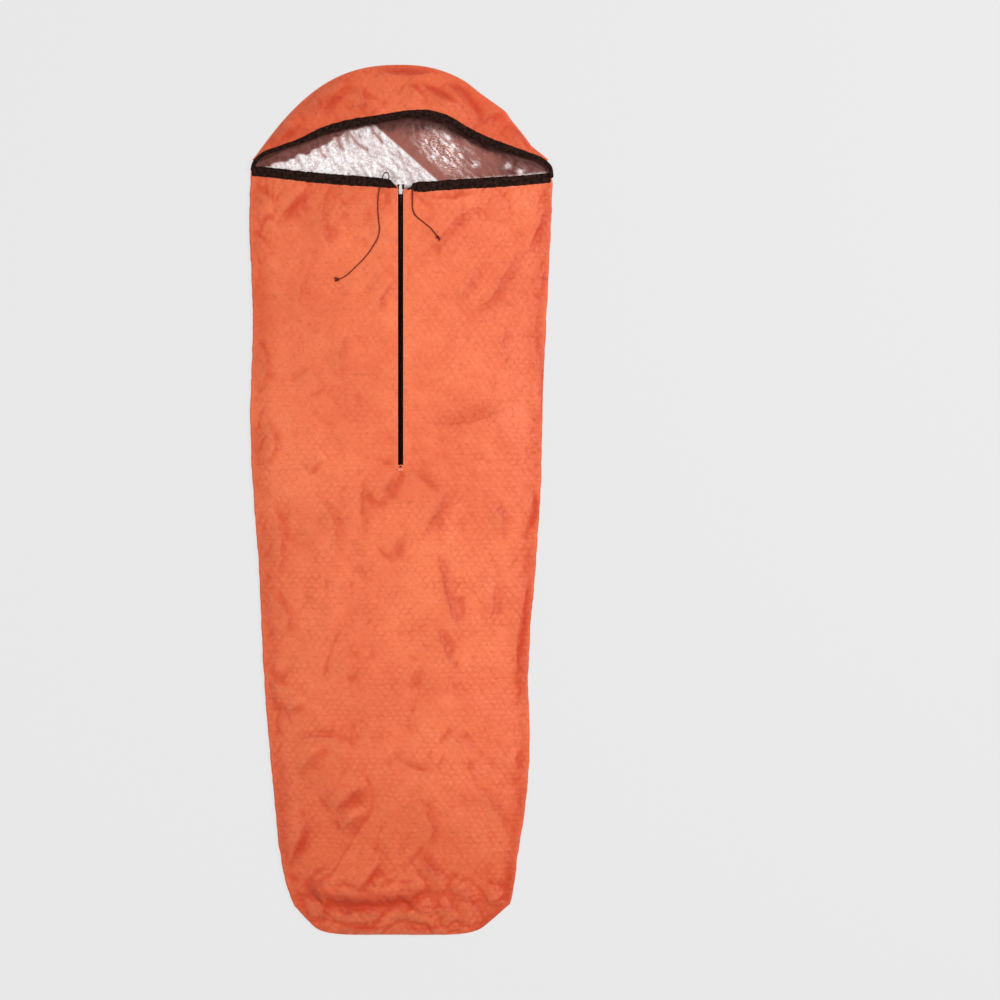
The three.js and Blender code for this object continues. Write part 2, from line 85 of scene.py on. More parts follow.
# Drawcord, binding, and the slanting folds beside the zip.
CORD_RADIUS = 1.25
KNOT_SIZE = 1.15
KNOT_CORD_RADIUS = 1.05
STRAND_RADIUS = 0.42
RIM_HALF_HEIGHT = 3
SEAM_INSET = 1.6
STITCH_RISE = 2.1


# ---------------------------------------------------------------- numbers and noise


def smooth(t):
    t = np.clip(t, 0, 1)
    return t * t * (3 - 2 * t)


def ramp(value, low, high):
    return smooth((np.asarray(value, float) - low) / (high - low))


def noise(x, y, seed=0):
    """Smooth noise from about -1 to 1 with a pitch of 1."""
    x, y = np.asarray(x, float), np.asarray(y, float)
    xi, yi = np.floor(x), np.floor(y)
    fx, fy = x - xi, y - yi
    ux = fx**3 * (fx * (fx * 6 - 15) + 10)
    uy = fy**3 * (fy * (fy * 6 - 15) + 10)

    def corner(i, j):
        spun = np.sin((xi + i) * 127.1 + (yi + j) * 311.7 + seed * 74.7) * 43758.5453
        angle = (spun - np.floor(spun)) * 2 * np.pi
        return np.cos(angle) * (fx - i) + np.sin(angle) * (fy - j)

    low = corner(0, 0) * (1 - ux) + corner(1, 0) * ux
    high = corner(0, 1) * (1 - ux) + corner(1, 1) * ux
    return 1.5 * (low * (1 - uy) + high * uy)


def layered_noise(x, y, pitch, seed, octaves=3):
    total = 0
    for k in range(octaves):
        total = total + noise(x * 2**k / pitch, y * 2**k / pitch, seed + k) / 2**k
    return total


def through(points, at):
    """A smooth curve through (place, value) points, read at the places in at."""
    places = np.array([p[0] for p in points], float)
    values = np.array([p[1] for p in points], float)
    slopes = np.gradient(values, places)
    at = np.clip(np.asarray(at, float), places[0], places[-1])
    k = np.clip(np.searchsorted(places, at) - 1, 0, len(places) - 2)
    step = places[k + 1] - places[k]
    t = (at - places[k]) / step
    return (
        values[k] * (1 + 2 * t) * (1 - t) ** 2
        + slopes[k] * step * t * (1 - t) ** 2
        + values[k + 1] * t * t * (3 - 2 * t)
        - slopes[k + 1] * step * t * t * (1 - t)
    )


def curve_points(points, spacing):
    """Evenly spaced points on a smooth curve through the given points."""
    points = np.array(points, float)
    chord = np.concatenate([[0], np.cumsum(np.linalg.norm(np.diff(points, axis=0), axis=1))])
    fine = np.linspace(0, chord[-1], 40 * len(points))
    kinds = range(points.shape[1])
    path = np.stack([through(list(zip(chord, points[:, i])), fine) for i in kinds], 1)
    run = np.concatenate([[0], np.cumsum(np.linalg.norm(np.diff(path, axis=0), axis=1))])
    count = max(2, int(round(run[-1] / spacing)) + 1)
    even = np.linspace(0, run[-1], count)
    return np.stack([np.interp(even, run, path[:, i]) for i in kinds], 1)


# ---------------------------------------------------------------- outline and heights

# The side edges from the foot line to the mouth, as (y, x).
LEFT_EDGE = [
    (-975, -260), (-939, -274), (-867, -290), (-722, -306), (-433, -331), (-144, -345),
    (0, -356), (144, -364), (433, -359), (722, -366), (818, -361),
]
RIGHT_EDGE = [
    (-975, 262), (-939, 270), (-867, 280), (-722, 301), (-600, 310), (-433, 306), (-144, 325),
    (0, 335), (289, 343), (578, 357), (722, 363), (785, 362), (804, 356), (818, 338),
]


def crown_bump(y, side):
    """How far the crown stands out from a true arc: it is pulled in, with a corner on the right."""
    drop = np.clip((CROWN_Y - y) / CROWN_DROP, 0, 1)
    if side < 0:
        return -12 * np.sqrt(drop * (1 - drop))
    return 5 * np.exp(-(((y - 934) / 14) ** 2)) - 6.5 * np.exp(-(((y - 980) / 22) ** 2))


def edge_x(y, side):
    """How far the edge of the sack is from its middle, on the left (-1) or the right (1)."""
    y = np.asarray(y, float)
    listed = np.abs(through(LEFT_EDGE if side < 0 else RIGHT_EDGE, y))
    down = np.clip((FOOT_LINE_Y - y) / (FOOT_LINE_Y - FOOT_Y + 1), 0, 1)
    narrowing = 70 if side < 0 else 86
    foot = (FOOT_HALF - narrowing * down) * (1 - down**12) ** 0.3
    drop = np.clip((CROWN_Y - y) / CROWN_DROP, 0, 1)
    crown = CROWN_LEFT * drop**0.4 if side < 0 else CROWN_RIGHT * drop**0.445
    waver = 1.2 * noise(y / 34, 3.7 * side, 5) + 0.7 * noise(y / 12, 1.3 * side, 6)
    above = np.where(y > CROWN_LOW_Y, crown + crown_bump(y, side), listed)
    inner = np.where(y < FOOT_LINE_Y, foot, above)
    return np.maximum(30, inner + waver * ramp(CROWN_Y - y, 0, 120) * ramp(y - FOOT_Y, 0, 60))


def half_width(x, y):
    """How far the edge on the side of x is from the middle."""
    return np.where(x < 0, edge_x(y, -1), edge_x(y, 1))


def crest_height(y):
    down = np.clip((FOOT_LINE_Y - y) / (FOOT_LINE_Y - FOOT_Y), 0, 1)
    crest = FOOT_CREST + (CREST - FOOT_CREST) * ramp(y, FOOT_LINE_Y, -640)
    return EDGE_Z + (crest - EDGE_Z) * (1 - down**2)


def front_height(x, y):
    """Height of the front film before it is wrinkled. It is squarer across below the zip."""
    across = np.clip(np.abs(x) / half_width(x, y), 0, 1)
    power = 2.6 - 1.35 * ramp(y, ZIP_BOTTOM_Y, 700)
    return EDGE_Z + (crest_height(y) - EDGE_Z) * (1 - across**power)


# ---------------------------------------------------------------- wrinkles


def near_line(x, y, points, reach):
    """Signed distance to a curve through the points, and the place along it from 0 to 1."""
    line = curve_points(points, 9)
    away = np.full(x.shape, 1e6)
    place = np.zeros(x.shape)
    low, high = line.min(0) - reach, line.max(0) + reach
    close = (x > low[0]) & (x < high[0]) & (y > low[1]) & (y < high[1])
    px, py = x[close], y[close]
    best, signed, at = np.full(px.shape, 1e6), np.full(px.shape, 1e6), np.zeros(px.shape)
    for k in range(len(line) - 1):
        (x0, y0), (dx, dy) = line[k], line[k + 1] - line[k]
        t = np.clip(((px - x0) * dx + (py - y0) * dy) / (dx * dx + dy * dy), 0, 1)
        ex, ey = px - x0 - t * dx, py - y0 - t * dy
        gap = np.hypot(ex, ey)
        nearer = gap < best
        best = np.where(nearer, gap, best)
        signed = np.where(nearer, np.sign(dx * ey - dy * ex) * gap, signed)
        at = np.where(nearer, (k + t) / (len(line) - 1), at)
    away[close], place[close] = signed, at
    return away, place


def crease_profile(across, wide, narrow):
    """A ridge with a slow side, where across is positive, and a steep one."""
    scale = np.where(across > 0, wide, narrow)
    return np.exp(-(np.sqrt((across / scale) ** 2 + 0.09) - 0.3))


# Folds, listed: height, width of the slow side, and the points of the ridge. The steep side is
# on the right of the way the points run.
FRONT_FOLDS = [
    # Round the left corner of the mouth and down the left side.
    (6.5, 26, [(-222, 760), (-262, 716), (-304, 672)]),
    (4.6, 16, [(-350, 750), (-322, 728), (-300, 702)]),
    (4.2, 14, [(-304, 700), (-346, 672)]),
    (4.8, 20, [(-183, 736), (-190, 655), (-168, 590)]),
    (2.6, 16, [(-150, 728), (-158, 650)]),
    (3.4, 14, [(-356, 644), (-332, 616), (-316, 592)]),
    (4.2, 18, [(-14, 534), (-46, 488), (-54, 446)]),
    (2.6, 14, [(-68, 732), (-86, 696), (-94, 650)]),
    (2.6, 24, [(-222, 560), (-246, 500), (-240, 440)]),
    (2.4, 26, [(-120, 420), (-150, 350), (-140, 280)]),
    (3.4, 16, [(-354, 402), (-326, 330), (-338, 262)]),
    (2.6, 22, [(-219, 316), (-193, 262)]),
    (3.6, 14, [(-325, 206), (-312, 106), (-344, 90)]),
    (4.4, 18, [(-318, 10), (-294, -60), (-288, -130), (-302, -192)]),
    (3.6, 14, [(-178, 108), (-222, 72)]),
    # Round the tail of the cord and the right corner of the mouth.
    (2.8, 12, [(34, 694), (60, 664), (84, 660)]),
    (3.4, 12, [(48, 726), (124, 722), (197, 740)]),
    (3.0, 14, [(256, 738), (240, 668)]),
    (4.0, 30, [(222, 722), (129, 676), (100, 640), (24, 566)]),
    (4.6, 18, [(354, 716), (326, 656), (298, 586)]),
    (4.8, 34, [(302, 630), (242, 542), (216, 490), (150, 448)]),
    (3.2, 24, [(190, 596), (160, 520), (120, 470)]),
    (3.0, 20, [(262, 470), (244, 380), (250, 300)]),
    (3.8, 18, [(330, 356), (337, 280), (330, 180)]),
    (3.2, 14, [(344, 574), (333, 490)]),
    (3.4, 50, [(34, 176), (160, 178), (300, 232)]),
    # Under the zip.
    (5.4, 22, [(-10, 74), (-34, 34), (-52, -6)]),
    (4.0, 24, [(-90, 70), (-96, 0), (-91, -96)]),
    (5.0, 22, [(14, 74), (60, 40), (104, 6)]),
    (4.8, 24, [(112, 40), (84, -28), (40, -92)]),
    (3.6, 18, [(16, -66), (-31, -134)]),
    (6.0, 26, [(84, -112), (98, -188), (126, -286), (154, -340)]),
    (4.6, 22, [(77, -290), (112, -380), (144, -440)]),
    (4.2, 22, [(214, 8), (240, -58), (244, -110)]),
    (6.0, 18, [(320, 30), (312, -30), (296, -88)]),
    (6.6, 18, [(304, -186), (280, -350), (272, -450)]),
    (3.4, 28, [(-200, 20), (-160, -70), (-160, -150)]),
    (3.4, 30, [(226, -150), (220, -230), (204, -330)]),
    (4.4, 18, [(-322, -222), (-270, -284), (-284, -322)]),
    # Lower front.
    (3.6, 22, [(48, -388), (10, -446)]),
    (3.4, 18, [(-120, -372), (-112, -424)]),
    (4.6, 14, [(-324, -408), (-296, -444), (-250, -452)]),
    (4.0, 16, [(-226, -476), (-276, -510)]),
    (4.4, 20, [(-256, -572), (-152, -574), (-84, -604)]),
    (4.0, 22, [(-192, -588), (-246, -650)]),
    (6.4, 30, [(-76, -680), (-110, -696), (-168, -746)]),
    (5.4, 24, [(-84, -742), (-146, -790)]),
    (7.0, 30, [(-226, -756), (-246, -810), (-272, -876)]),
    (4.2, 20, [(108, -562), (152, -588), (186, -618)]),
    (4.0, 26, [(-26, -622), (42, -646), (104, -662)]),
    (4.6, 16, [(277, -590), (274, -638), (288, -668)]),
    (3.6, 30, [(176, -690), (230, -756), (256, -820)]),
    (3.6, 24, [(40, -720), (72, -790), (60, -840)]),
    (5.6, 22, [(34, -856), (82, -900), (116, -918)]),
    (6.0, 20, [(-50, -842), (-66, -888), (-112, -940)]),
    # Over the foot.
    (6.0, 16, [(-214, -916), (-186, -972), (-196, -1010)]),
    (5.4, 15, [(-150, -1004), (-96, -990), (-30, -1006)]),
    (5.0, 16, [(-10, -996), (44, -984), (84, -1000)]),
    (6.0, 13, [(66, -990), (100, -982), (140, -994)]),
    (5.6, 16, [(128, -934), (166, -968), (190, -1000)]),
    (5.0, 14, [(250, -946), (210, -974)]),
    (4.6, 12, [(-156, -1026), (-90, -1036), (-14, -1028)]),
    (4.6, 12, [(-8, -1030), (58, -1036), (112, -1026)]),
]
# The fold that hangs over the foot, which the foot panel is tucked under.
FOOT_OVERHANG = [
    (-214, -908), (-192, -936), (-150, -950), (-89, -952), (-24, -950), (22, -942), (56, -920),
]

HOOD_FOLDS = [
    (6.4, 18, [(40, 1002), (93, 966), (146, 942)]),
    (8.0, 22, [(108, 1002), (141, 970), (176, 930), (188, 900)]),
    (5.6, 16, [(240, 938), (216, 926), (196, 908)]),
    (4.6, 16, [(10, 1000), (40, 976), (52, 950)]),
    (5.0, 26, [(-120, 1006), (-166, 970), (-196, 926)]),
    (4.6, 20, [(-98, 996), (-92, 960), (-110, 930)]),
    (5.0, 20, [(-232, 912), (-268, 890), (-300, 858)]),
    (5.2, 16, [(256, 900), (284, 868), (306, 846)]),
    (4.6, 24, [(-60, 1030), (20, 1018), (90, 1026)]),
    (5.0, 18, [(-206, 966), (-200, 940), (-186, 916)]),
    (4.4, 16, [(-52, 960), (-60, 940), (-84, 924)]),
]
# Brown streaks of painted reflection in the bright part of the lining, and the spots of painted glints on
# the rest of it.
LINING_STREAKS = [
    [(-134, 894), (-112, 866), (-84, 842)], [(-160, 884), (-150, 862), (-140, 846)],
    [(-200, 856), (-192, 836), (-184, 826)], [(-74, 900), (-62, 880), (-46, 862)],
]
LINING_GLINTS = [(112, 872), (126, 850), (178, 808), (256, 804), (288, 792), (76, 826)]


def creased_noise(x, y, pitch, seed, stretch=1.0):
    """A net of curved creases, as thin film makes: sharp ridges round soft hollows, from 0 to 1."""
    u, v = x / pitch, y / (pitch * stretch)
    bent_u = u + 0.6 * noise(u / 1.9 + 7, v / 1.9, seed + 40)
    bent_v = v + 0.6 * noise(u / 1.9, v / 1.9 + 3, seed + 41)
    return (1 - np.minimum(1, 1.6 * np.abs(noise(bent_u, bent_v, seed)))) ** 1.4


# Fine creases in the lining: how many, over which x and y, and their lengths, widths, heights, usual
# direction and range of directions.
LINING_CREASES = [
    (150, (-330, 60), (740, 930), (18, 70), (2.5, 6), (0.8, 2.4), -1.05, 0.9),
    (150, (40, 350), (740, 930), (14, 50), (2, 5), (0.6, 2.0), -0.75, 0.8),
    (220, (-340, 350), (735, 940), (10, 34), (1.6, 3.6), (0.4, 1.2), 0.0, math.pi),
]


def random_creases(rng, count, xs, ys, lengths, widths, heights, lean, spread):
    """Short creases strewn over a region. lean is their usual direction and spread its range."""
    creases = []
    for _ in range(count):
        height = rng.uniform(*heights) * rng.choice([-1, 1])
        creases.append((
            rng.uniform(*xs), rng.uniform(*ys), lean + rng.uniform(-0.5, 0.5) * spread,
            rng.uniform(*lengths), rng.uniform(*widths), height, rng.uniform(-0.25, 0.25),
        ))
    return creases


def add_creases(x, y, creases):
    total = np.zeros(x.shape)
    for cx, cy, angle, length, width, height, bend in creases:
        near = (np.abs(x - cx) < length) & (np.abs(y - cy) < length)
        dx, dy = x[near] - cx, y[near] - cy
        along = (dx * math.cos(angle) + dy * math.sin(angle)) / (length / 2)
        across = dy * math.cos(angle) - dx * math.sin(angle) - bend * length * along**2 / 2
        total[near] += height * np.exp(-(along**4)) * crease_profile(across, width, 0.5 * width)
    return total


def add_folds(x, y, folds, gain=1.0):
    """The height of the folds, and how much their steep sides shade each other."""
    total, shade = np.zeros(x.shape), np.zeros(x.shape)
    for height, wide, points in folds:
        across, place = near_line(x, y, points, 5 * wide)
        near = np.abs(across) < 1e5
        across = across + 3.5 * noise(x / 26, y / 26, 31)
        taper = np.sin(np.pi * np.clip(place, 0, 1)) ** 1.1
        total += np.where(near, height * taper * crease_profile(-across, 1.3 * wide, 0.42 * wide), 0)
        steep = np.exp(-np.abs((across - 0.42 * wide) / (0.5 * wide)) ** 1.6)
        line = 0.8 * np.exp(-(((across - 0.16 * wide) / 3.2) ** 2))
        line = line * (1 + 0.6 * noise(x / 12, y / 12, 32))
        length = np.linalg.norm(np.diff(np.array(points, float), axis=0), axis=1).sum()
        depth = height / 5 * min(1, 0.35 + length / 200)
        shade = np.maximum(shade, np.where(near, depth * taper * (0.85 * steep + line), 0))
    return gain * total, shade


def foot_overhang(x, y):
    """The front film bulges over the foot, then drops steeply to the foot panel."""
    across, place = near_line(x, y, FOOT_OVERHANG, 110)
    across = across + 4 * noise(x / 30, y / 30, 34)
    taper = np.sqrt(np.clip(np.sin(np.pi * np.clip(place, 0.001, 0.999)), 0, 1))
    above = np.exp(-(np.clip(across, 0, None) / 60) ** 1.5)
    below = np.exp(-((np.clip(-across, 0, None) / 17) ** 1.7))
    hollow = 3.5 * np.exp(-(((across + 24) / 12) ** 2))
    bulge = 13 * np.where(across > 0, above, below) - hollow
    return np.where(np.abs(across) < 1e5, taper * bulge, 0)


def front_wrinkles(x, y):
    half = half_width(x, y)
    swell = 3.0 * layered_noise(x, y, 190, 3, 2)
    swell = swell + 1.0 * layered_noise(x + 0.5 * y, y - 0.4 * x, 80, 8, 2)
    lively = 0.35 + 0.65 * ramp(layered_noise(x, y, 150, 21, 2), -0.3, 0.5)
    low = ramp(120 - y, 0, 300)
    net = (0.9 + 0.9 * low) * lively * creased_noise(x, y, 90, 52, 2.2)
    net = net + (0.25 + 0.35 * low) * lively * creased_noise(x, y, 36, 55, 1.7)
    at_edge = ramp(np.abs(x) / half, 0.84, 0.96)
    at_foot = ramp(-860 - y, 0, 110)
    at_mouth = ramp(y, 650, 730)
    for share, *nets in (
        (at_edge, (1.6, 46, 64, 2.0), (0.5, 22, 66, 1.6)),
        (at_foot, (4.4, 72, 58, 0.7), (1.8, 34, 61, 0.8)),
        (at_mouth, (1.4, 36, 68, 2.4), (0.5, 16, 69, 1.8)),
    ):
        net = net + share * sum(height * creased_noise(x, y, *looks) for height, *looks in nets)
    total = swell - net + add_folds(x, y, FRONT_FOLDS, 1.35)[0] + foot_overhang(x, y)
    beside_zip = ramp(np.abs(x), 4, 30)
    below_zip = ramp(ZIP_BOTTOM_Y - y, 0, 26)
    return total * np.maximum(beside_zip, below_zip)


def front_top(x, y):
    """Height of the finished front film."""
    half = half_width(x, y)
    hem = 0.25 + 0.75 * ramp(half - np.abs(x), 0, 26)
    height = front_height(x, y) + hem * front_wrinkles(x, y)
    # The highest folds are pressed flatter, so that nothing stands over the sack's full height.
    most = 3.2
    over = np.clip(height - CREST, 0, None)
    return np.maximum(EDGE_Z - 2, height - over + most * (1 - np.exp(-over / most)))


# ---------------------------------------------------------------- meshes


def make_object(name, points, faces, face_slots, materials, normals=None, values=None):
    """A mesh object from arrays in millimetres. Its flat map holds each point's x and y in metres."""
    points = np.asarray(points, float)
    mesh = bpy.data.meshes.new(name)
    mesh.from_pydata((points * MM).tolist(), [], faces)
    for material in materials:
        mesh.materials.append(material)
    mesh.polygons.foreach_set("material_index", np.asarray(face_slots, np.int32))
    mesh.polygons.foreach_set("use_smooth", np.ones(len(mesh.polygons), bool))
    corner = np.empty(len(mesh.loops), np.int32)
    mesh.loops.foreach_get("vertex_index", corner)
    layer = mesh.uv_layers.new(name="flat")
    layer.data.foreach_set("uv", (points[corner, :2] * MM).astype(np.float32).ravel())
    for key, value in (values or {}).items():
        attribute = mesh.attributes.new(key, "FLOAT", "POINT")
        attribute.data.foreach_set("value", np.asarray(value, np.float32).ravel())
    mesh.update()
    if normals is not None:
        mesh.normals_split_custom_set_from_vertices(np.asarray(normals, float).tolist())
    obj = bpy.data.objects.new(name, mesh)
    bpy.context.scene.collection.objects.link(obj)
    return obj


def plain_object(name, points, faces, material):
    return make_object(name, points, faces, np.zeros(len(faces)), [material])


def set_up(piece, node, body=None):
    """The piece takes the place of a CAD node, if any, and rides a body, if any."""
    if node:
        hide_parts(node)
    if body:
        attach(piece, body)


def ways(path):
    """Unit vectors along a flat path and across it, to its left."""
    along = np.gradient(path, axis=0)
    along /= np.linalg.norm(along, axis=1, keepdims=True)
    return along, np.stack([-along[:, 1], along[:, 0]], 1)


def grid_normals(grid):
    """Normals of a grid of points, from its rows and columns."""
    down_rows = np.gradient(grid, axis=0)
    along_row = np.gradient(grid, axis=1)
    normal = np.cross(along_row, down_rows)
    return normal / np.maximum(np.linalg.norm(normal, axis=2, keepdims=True), 1e-9)


def hollows(grid):
    """How far each point lies in a hollow, from 0 to 1, and on a ridge, from 0 to 1."""
    z = grid[:, :, 2]
    bend = 0
    for reach, size in ((3, 1.3), (7, 3.2)):
        padded = np.pad(z, reach, mode="reflect", reflect_type="odd")
        inner, span = slice(reach, -reach), 2 * reach
        beside = padded[:-span, inner] + padded[span:, inner]
        around = beside + padded[inner, :-span] + padded[inner, span:]
        bend = bend + np.clip((around / 4 - z) / size, -1, 1)
    return ramp(bend, 0.1, 1.1), ramp(-bend, 0.1, 1.2)


def sheet_piece(name, grid, upper, lower, normals=None, thickness=FILM, values=None):
    """A closed sheet of film from a grid of points on its top. The rows run towards +Y."""
    rows, columns = grid.shape[:2]
    normals = grid_normals(grid) if normals is None else normals
    top = grid.reshape(-1, 3)
    under = top - normals.reshape(-1, 3) * thickness
    under[:, 2] = np.maximum(under[:, 2], 0.05)
    index = np.arange(rows * columns).reshape(rows, columns)
    a, b = index[:-1, :-1].ravel(), index[:-1, 1:].ravel()
    c, d = index[1:, 1:].ravel(), index[1:, :-1].ravel()
    low = rows * columns
    top_faces = np.stack([a, b, c, d], 1)
    under_faces = np.stack([a, d, c, b], 1) + low
    rim = np.concatenate([index[0, :-1], index[:-1, -1], index[-1, :0:-1], index[:0:-1, 0]])
    after = np.roll(rim, -1)
    walls = np.stack([after, rim, rim + low, after + low], 1)
    faces = np.concatenate([top_faces, under_faces, walls])
    low_faces = slice(len(top_faces), 2 * len(top_faces))
    slots = np.zeros(len(faces))
    slots[low_faces] = 1
    doubled = {key: np.concatenate([v.ravel(), 0 * v.ravel()]) for key, v in (values or {}).items()}
    # The silver underside gets a high reflection tone: painted reflection of the light, near white.
    if lower is FILM_INSIDE:
        doubled["reflection_tone"] = np.repeat([0, 0.85], low)
    both = np.concatenate([normals.reshape(-1, 3), -normals.reshape(-1, 3)])
    points = np.concatenate([top, under])
    return make_object(name, points, faces.tolist(), slots, [upper, lower], normals=both, values=doubled)


def tube_piece(name, stations, material):
    """A closed tube through rings of points, with a fan over each end."""
    count, sides = stations.shape[:2]
    index = np.arange(count * sides).reshape(count, sides)
    around = np.roll(index, -1, axis=1)
    quads = np.stack([index[:-1], around[:-1], around[1:], index[1:]], 2).reshape(-1, 4).tolist()
    first, last = count * sides, count * sides + 1
    points = np.concatenate([stations.reshape(-1, 3), [stations[0].mean(0)], [stations[-1].mean(0)]])
    caps = [[first, around[0, k], index[0, k]] for k in range(sides)]
    caps += [[last, index[-1, k], around[-1, k]] for k in range(sides)]
    faces = quads + [[int(v) for v in cap] for cap in caps]
    return plain_object(name, points, faces, material)


# ---------------------------------------------------------------- materials


class Shader:
    """A material with a few shorthands for its nodes."""

    def __init__(self, name, **constants):
        self.material = bpy.data.materials.new(name)
        self.material.use_nodes = True
        self.tree = self.material.node_tree
        self.surface = self.tree.nodes["Principled BSDF"]
        for key, value in constants.items():
            socket = key.replace("_", " ").title().replace("Ior", "IOR")
            self.surface.inputs[socket].default_value = value

    def add(self, kind, props=None, **inputs):
        node = self.tree.nodes.new(kind)
        for key, value in (props or {}).items():
            setattr(node, key, value)
        for key, value in inputs.items():
            self.put(node.inputs[int(key[1:]) if key[0] == "i" and key[1:].isdigit() else key], value)
        return node

    def put(self, socket, value):
        if isinstance(value, bpy.types.NodeSocket):
            self.tree.links.new(value, socket)
        else:
            socket.default_value = value

    def math(self, operation, a, b=0.0):
        return self.add("ShaderNodeMath", {"operation": operation}, i0=a, i1=b).outputs[0]

    def times(self, a, b):
        return self.math("MULTIPLY", a, b)

    def flip(self, value):
        return self.math("SUBTRACT", 1.0, value)

    def vector(self, operation, a, b=(0, 0, 0), output=0):
        node = self.add("ShaderNodeVectorMath", {"operation": operation}, i0=a, i1=b)
        return node.outputs[output]

    def place(self, flat=True):
        """Where a point lies on the film, or in the sack."""
        if flat:
            return self.add("ShaderNodeUVMap", {"uv_map": "flat"}).outputs[0]
        return self.add("ShaderNodeTexCoord").outputs["Object"]

    def scaled(self, place, factor):
        return self.vector("MULTIPLY", place, factor)

    def split(self, place):
        return self.add("ShaderNodeSeparateXYZ", Vector=place).outputs

    def noise(self, place, scale, detail=3.0, rough=0.55, distort=0.0):
        looks = {"Scale": scale, "Detail": detail, "Roughness": rough, "Distortion": distort}
        return self.add("ShaderNodeTexNoise", Vector=place, **looks).outputs[0]

    def ramp(self, value, low, high):
        node = self.add("ShaderNodeMapRange", {"interpolation_type": "SMOOTHSTEP"})
        self.put(node.inputs["Value"], value)
        node.inputs["From Min"].default_value = low
        node.inputs["From Max"].default_value = high
        return node.outputs[0]

    def blend(self, kind, first, output, factor, a, b):
        """A mix of two values of a kind. first is the number of the first one's socket."""
        node = self.add("ShaderNodeMix", {"data_type": kind})
        for number, value in ((0, factor), (first, a), (first + 1, b)):
            self.put(node.inputs[number], value)
        return node.outputs[output]

    def mix(self, factor, a, b):
        return self.blend("RGBA", 6, 2, factor, a, b)

    def mixed(self, factor, a, b):
        return self.blend("FLOAT", 2, 0, factor, a, b)

    def tinted(self, body, share, most, tint):
        """The body colour, with up to most of the tint where share is 1."""
        return self.mix(self.times(share, most), body, tint)

    def reading(self, name):
        return self.add("ShaderNodeAttribute", {"attribute_name": name}).outputs["Fac"]

    def bump(self, height, distance, strength=1.0, under=None):
        node = self.add("ShaderNodeBump")
        self.put(node.inputs["Height"], height)
        node.inputs["Distance"].default_value = distance
        node.inputs["Strength"].default_value = strength
        if under is not None:
            self.put(node.inputs["Normal"], under)
        return node.outputs[0]

    def set(self, key, value):
        self.put(self.surface.inputs[key], value)


def colour(red, green, blue):
    """A linear colour from the usual 0 to 255 numbers."""
    def linear(v):
        v /= 255
        return v / 12.92 if v <= 0.04045 else ((v + 0.055) / 1.055) ** 2.4

    return (linear(red), linear(green), linear(blue), 1)


def hexagon_edges(s, place, width, height):
    """Distance from the edges of flat hexagons, width by 1.5 height apart, from 0 at an edge to 0.5."""
    root = math.sqrt(3)
    wobble = s.add("ShaderNodeTexNoise", Vector=place, Scale=26.0, Detail=2.0)
    slip = s.vector("SUBTRACT", wobble.outputs[1], (0.5, 0.5, 0.5))
    shifted = s.vector("ADD", place, s.scaled(slip, (0.016, 0.016, 0)))
    p = s.scaled(shifted, (1 / width, root / (2 * height), 0))
    p = s.vector("ADD", p, (400, 400 * root, 0))
    cell, half = (1, root, 1), (0.5, root / 2, 0)
    near = s.vector("SUBTRACT", s.vector("MODULO", p, cell), half)
    far = s.vector("SUBTRACT", s.vector("MODULO", s.vector("ADD", p, half), cell), half)
    near_size = s.vector("LENGTH", near, output=1)
    far_size = s.vector("LENGTH", far, output=1)
    pick = s.math("LESS_THAN", far_size, near_size)
    sides = s.vector("ABSOLUTE", s.blend("VECTOR", 4, 1, pick, near, far))
    slanted = s.vector("DOT_PRODUCT", sides, (0.5, root / 2, 0), output=1)
    upright = s.vector("DOT_PRODUCT", sides, (1, 0, 0), output=1)
    return s.math("SUBTRACT", 0.5, s.math("MAXIMUM", slanted, upright))


def weave(s, place, pitch):
    """A plain weave: threads over and under at the given pitch."""
    turn = 2 * math.pi / pitch
    split = s.split(s.scaled(place, (turn, turn, turn)))
    warp = s.math("SINE", split[0])
    weft = s.math("SINE", split[1])
    return s.times(warp, weft)


def creased_lines(s, place, scale, thin):
    """Thin broken lines where the film has been crumpled, from 0 to 1."""
    level = s.noise(s.scaled(place, (1.25, 1, 1)), scale, 3.0, 0.62, 1.4)
    off = s.math("ABSOLUTE", s.math("SUBTRACT", level, 0.5))
    broken = s.ramp(s.noise(place, 1.7 * scale, 2.0, 0.6), 0.46, 0.62)
    return s.times(s.flip(s.ramp(off, 0.0, thin)), broken)


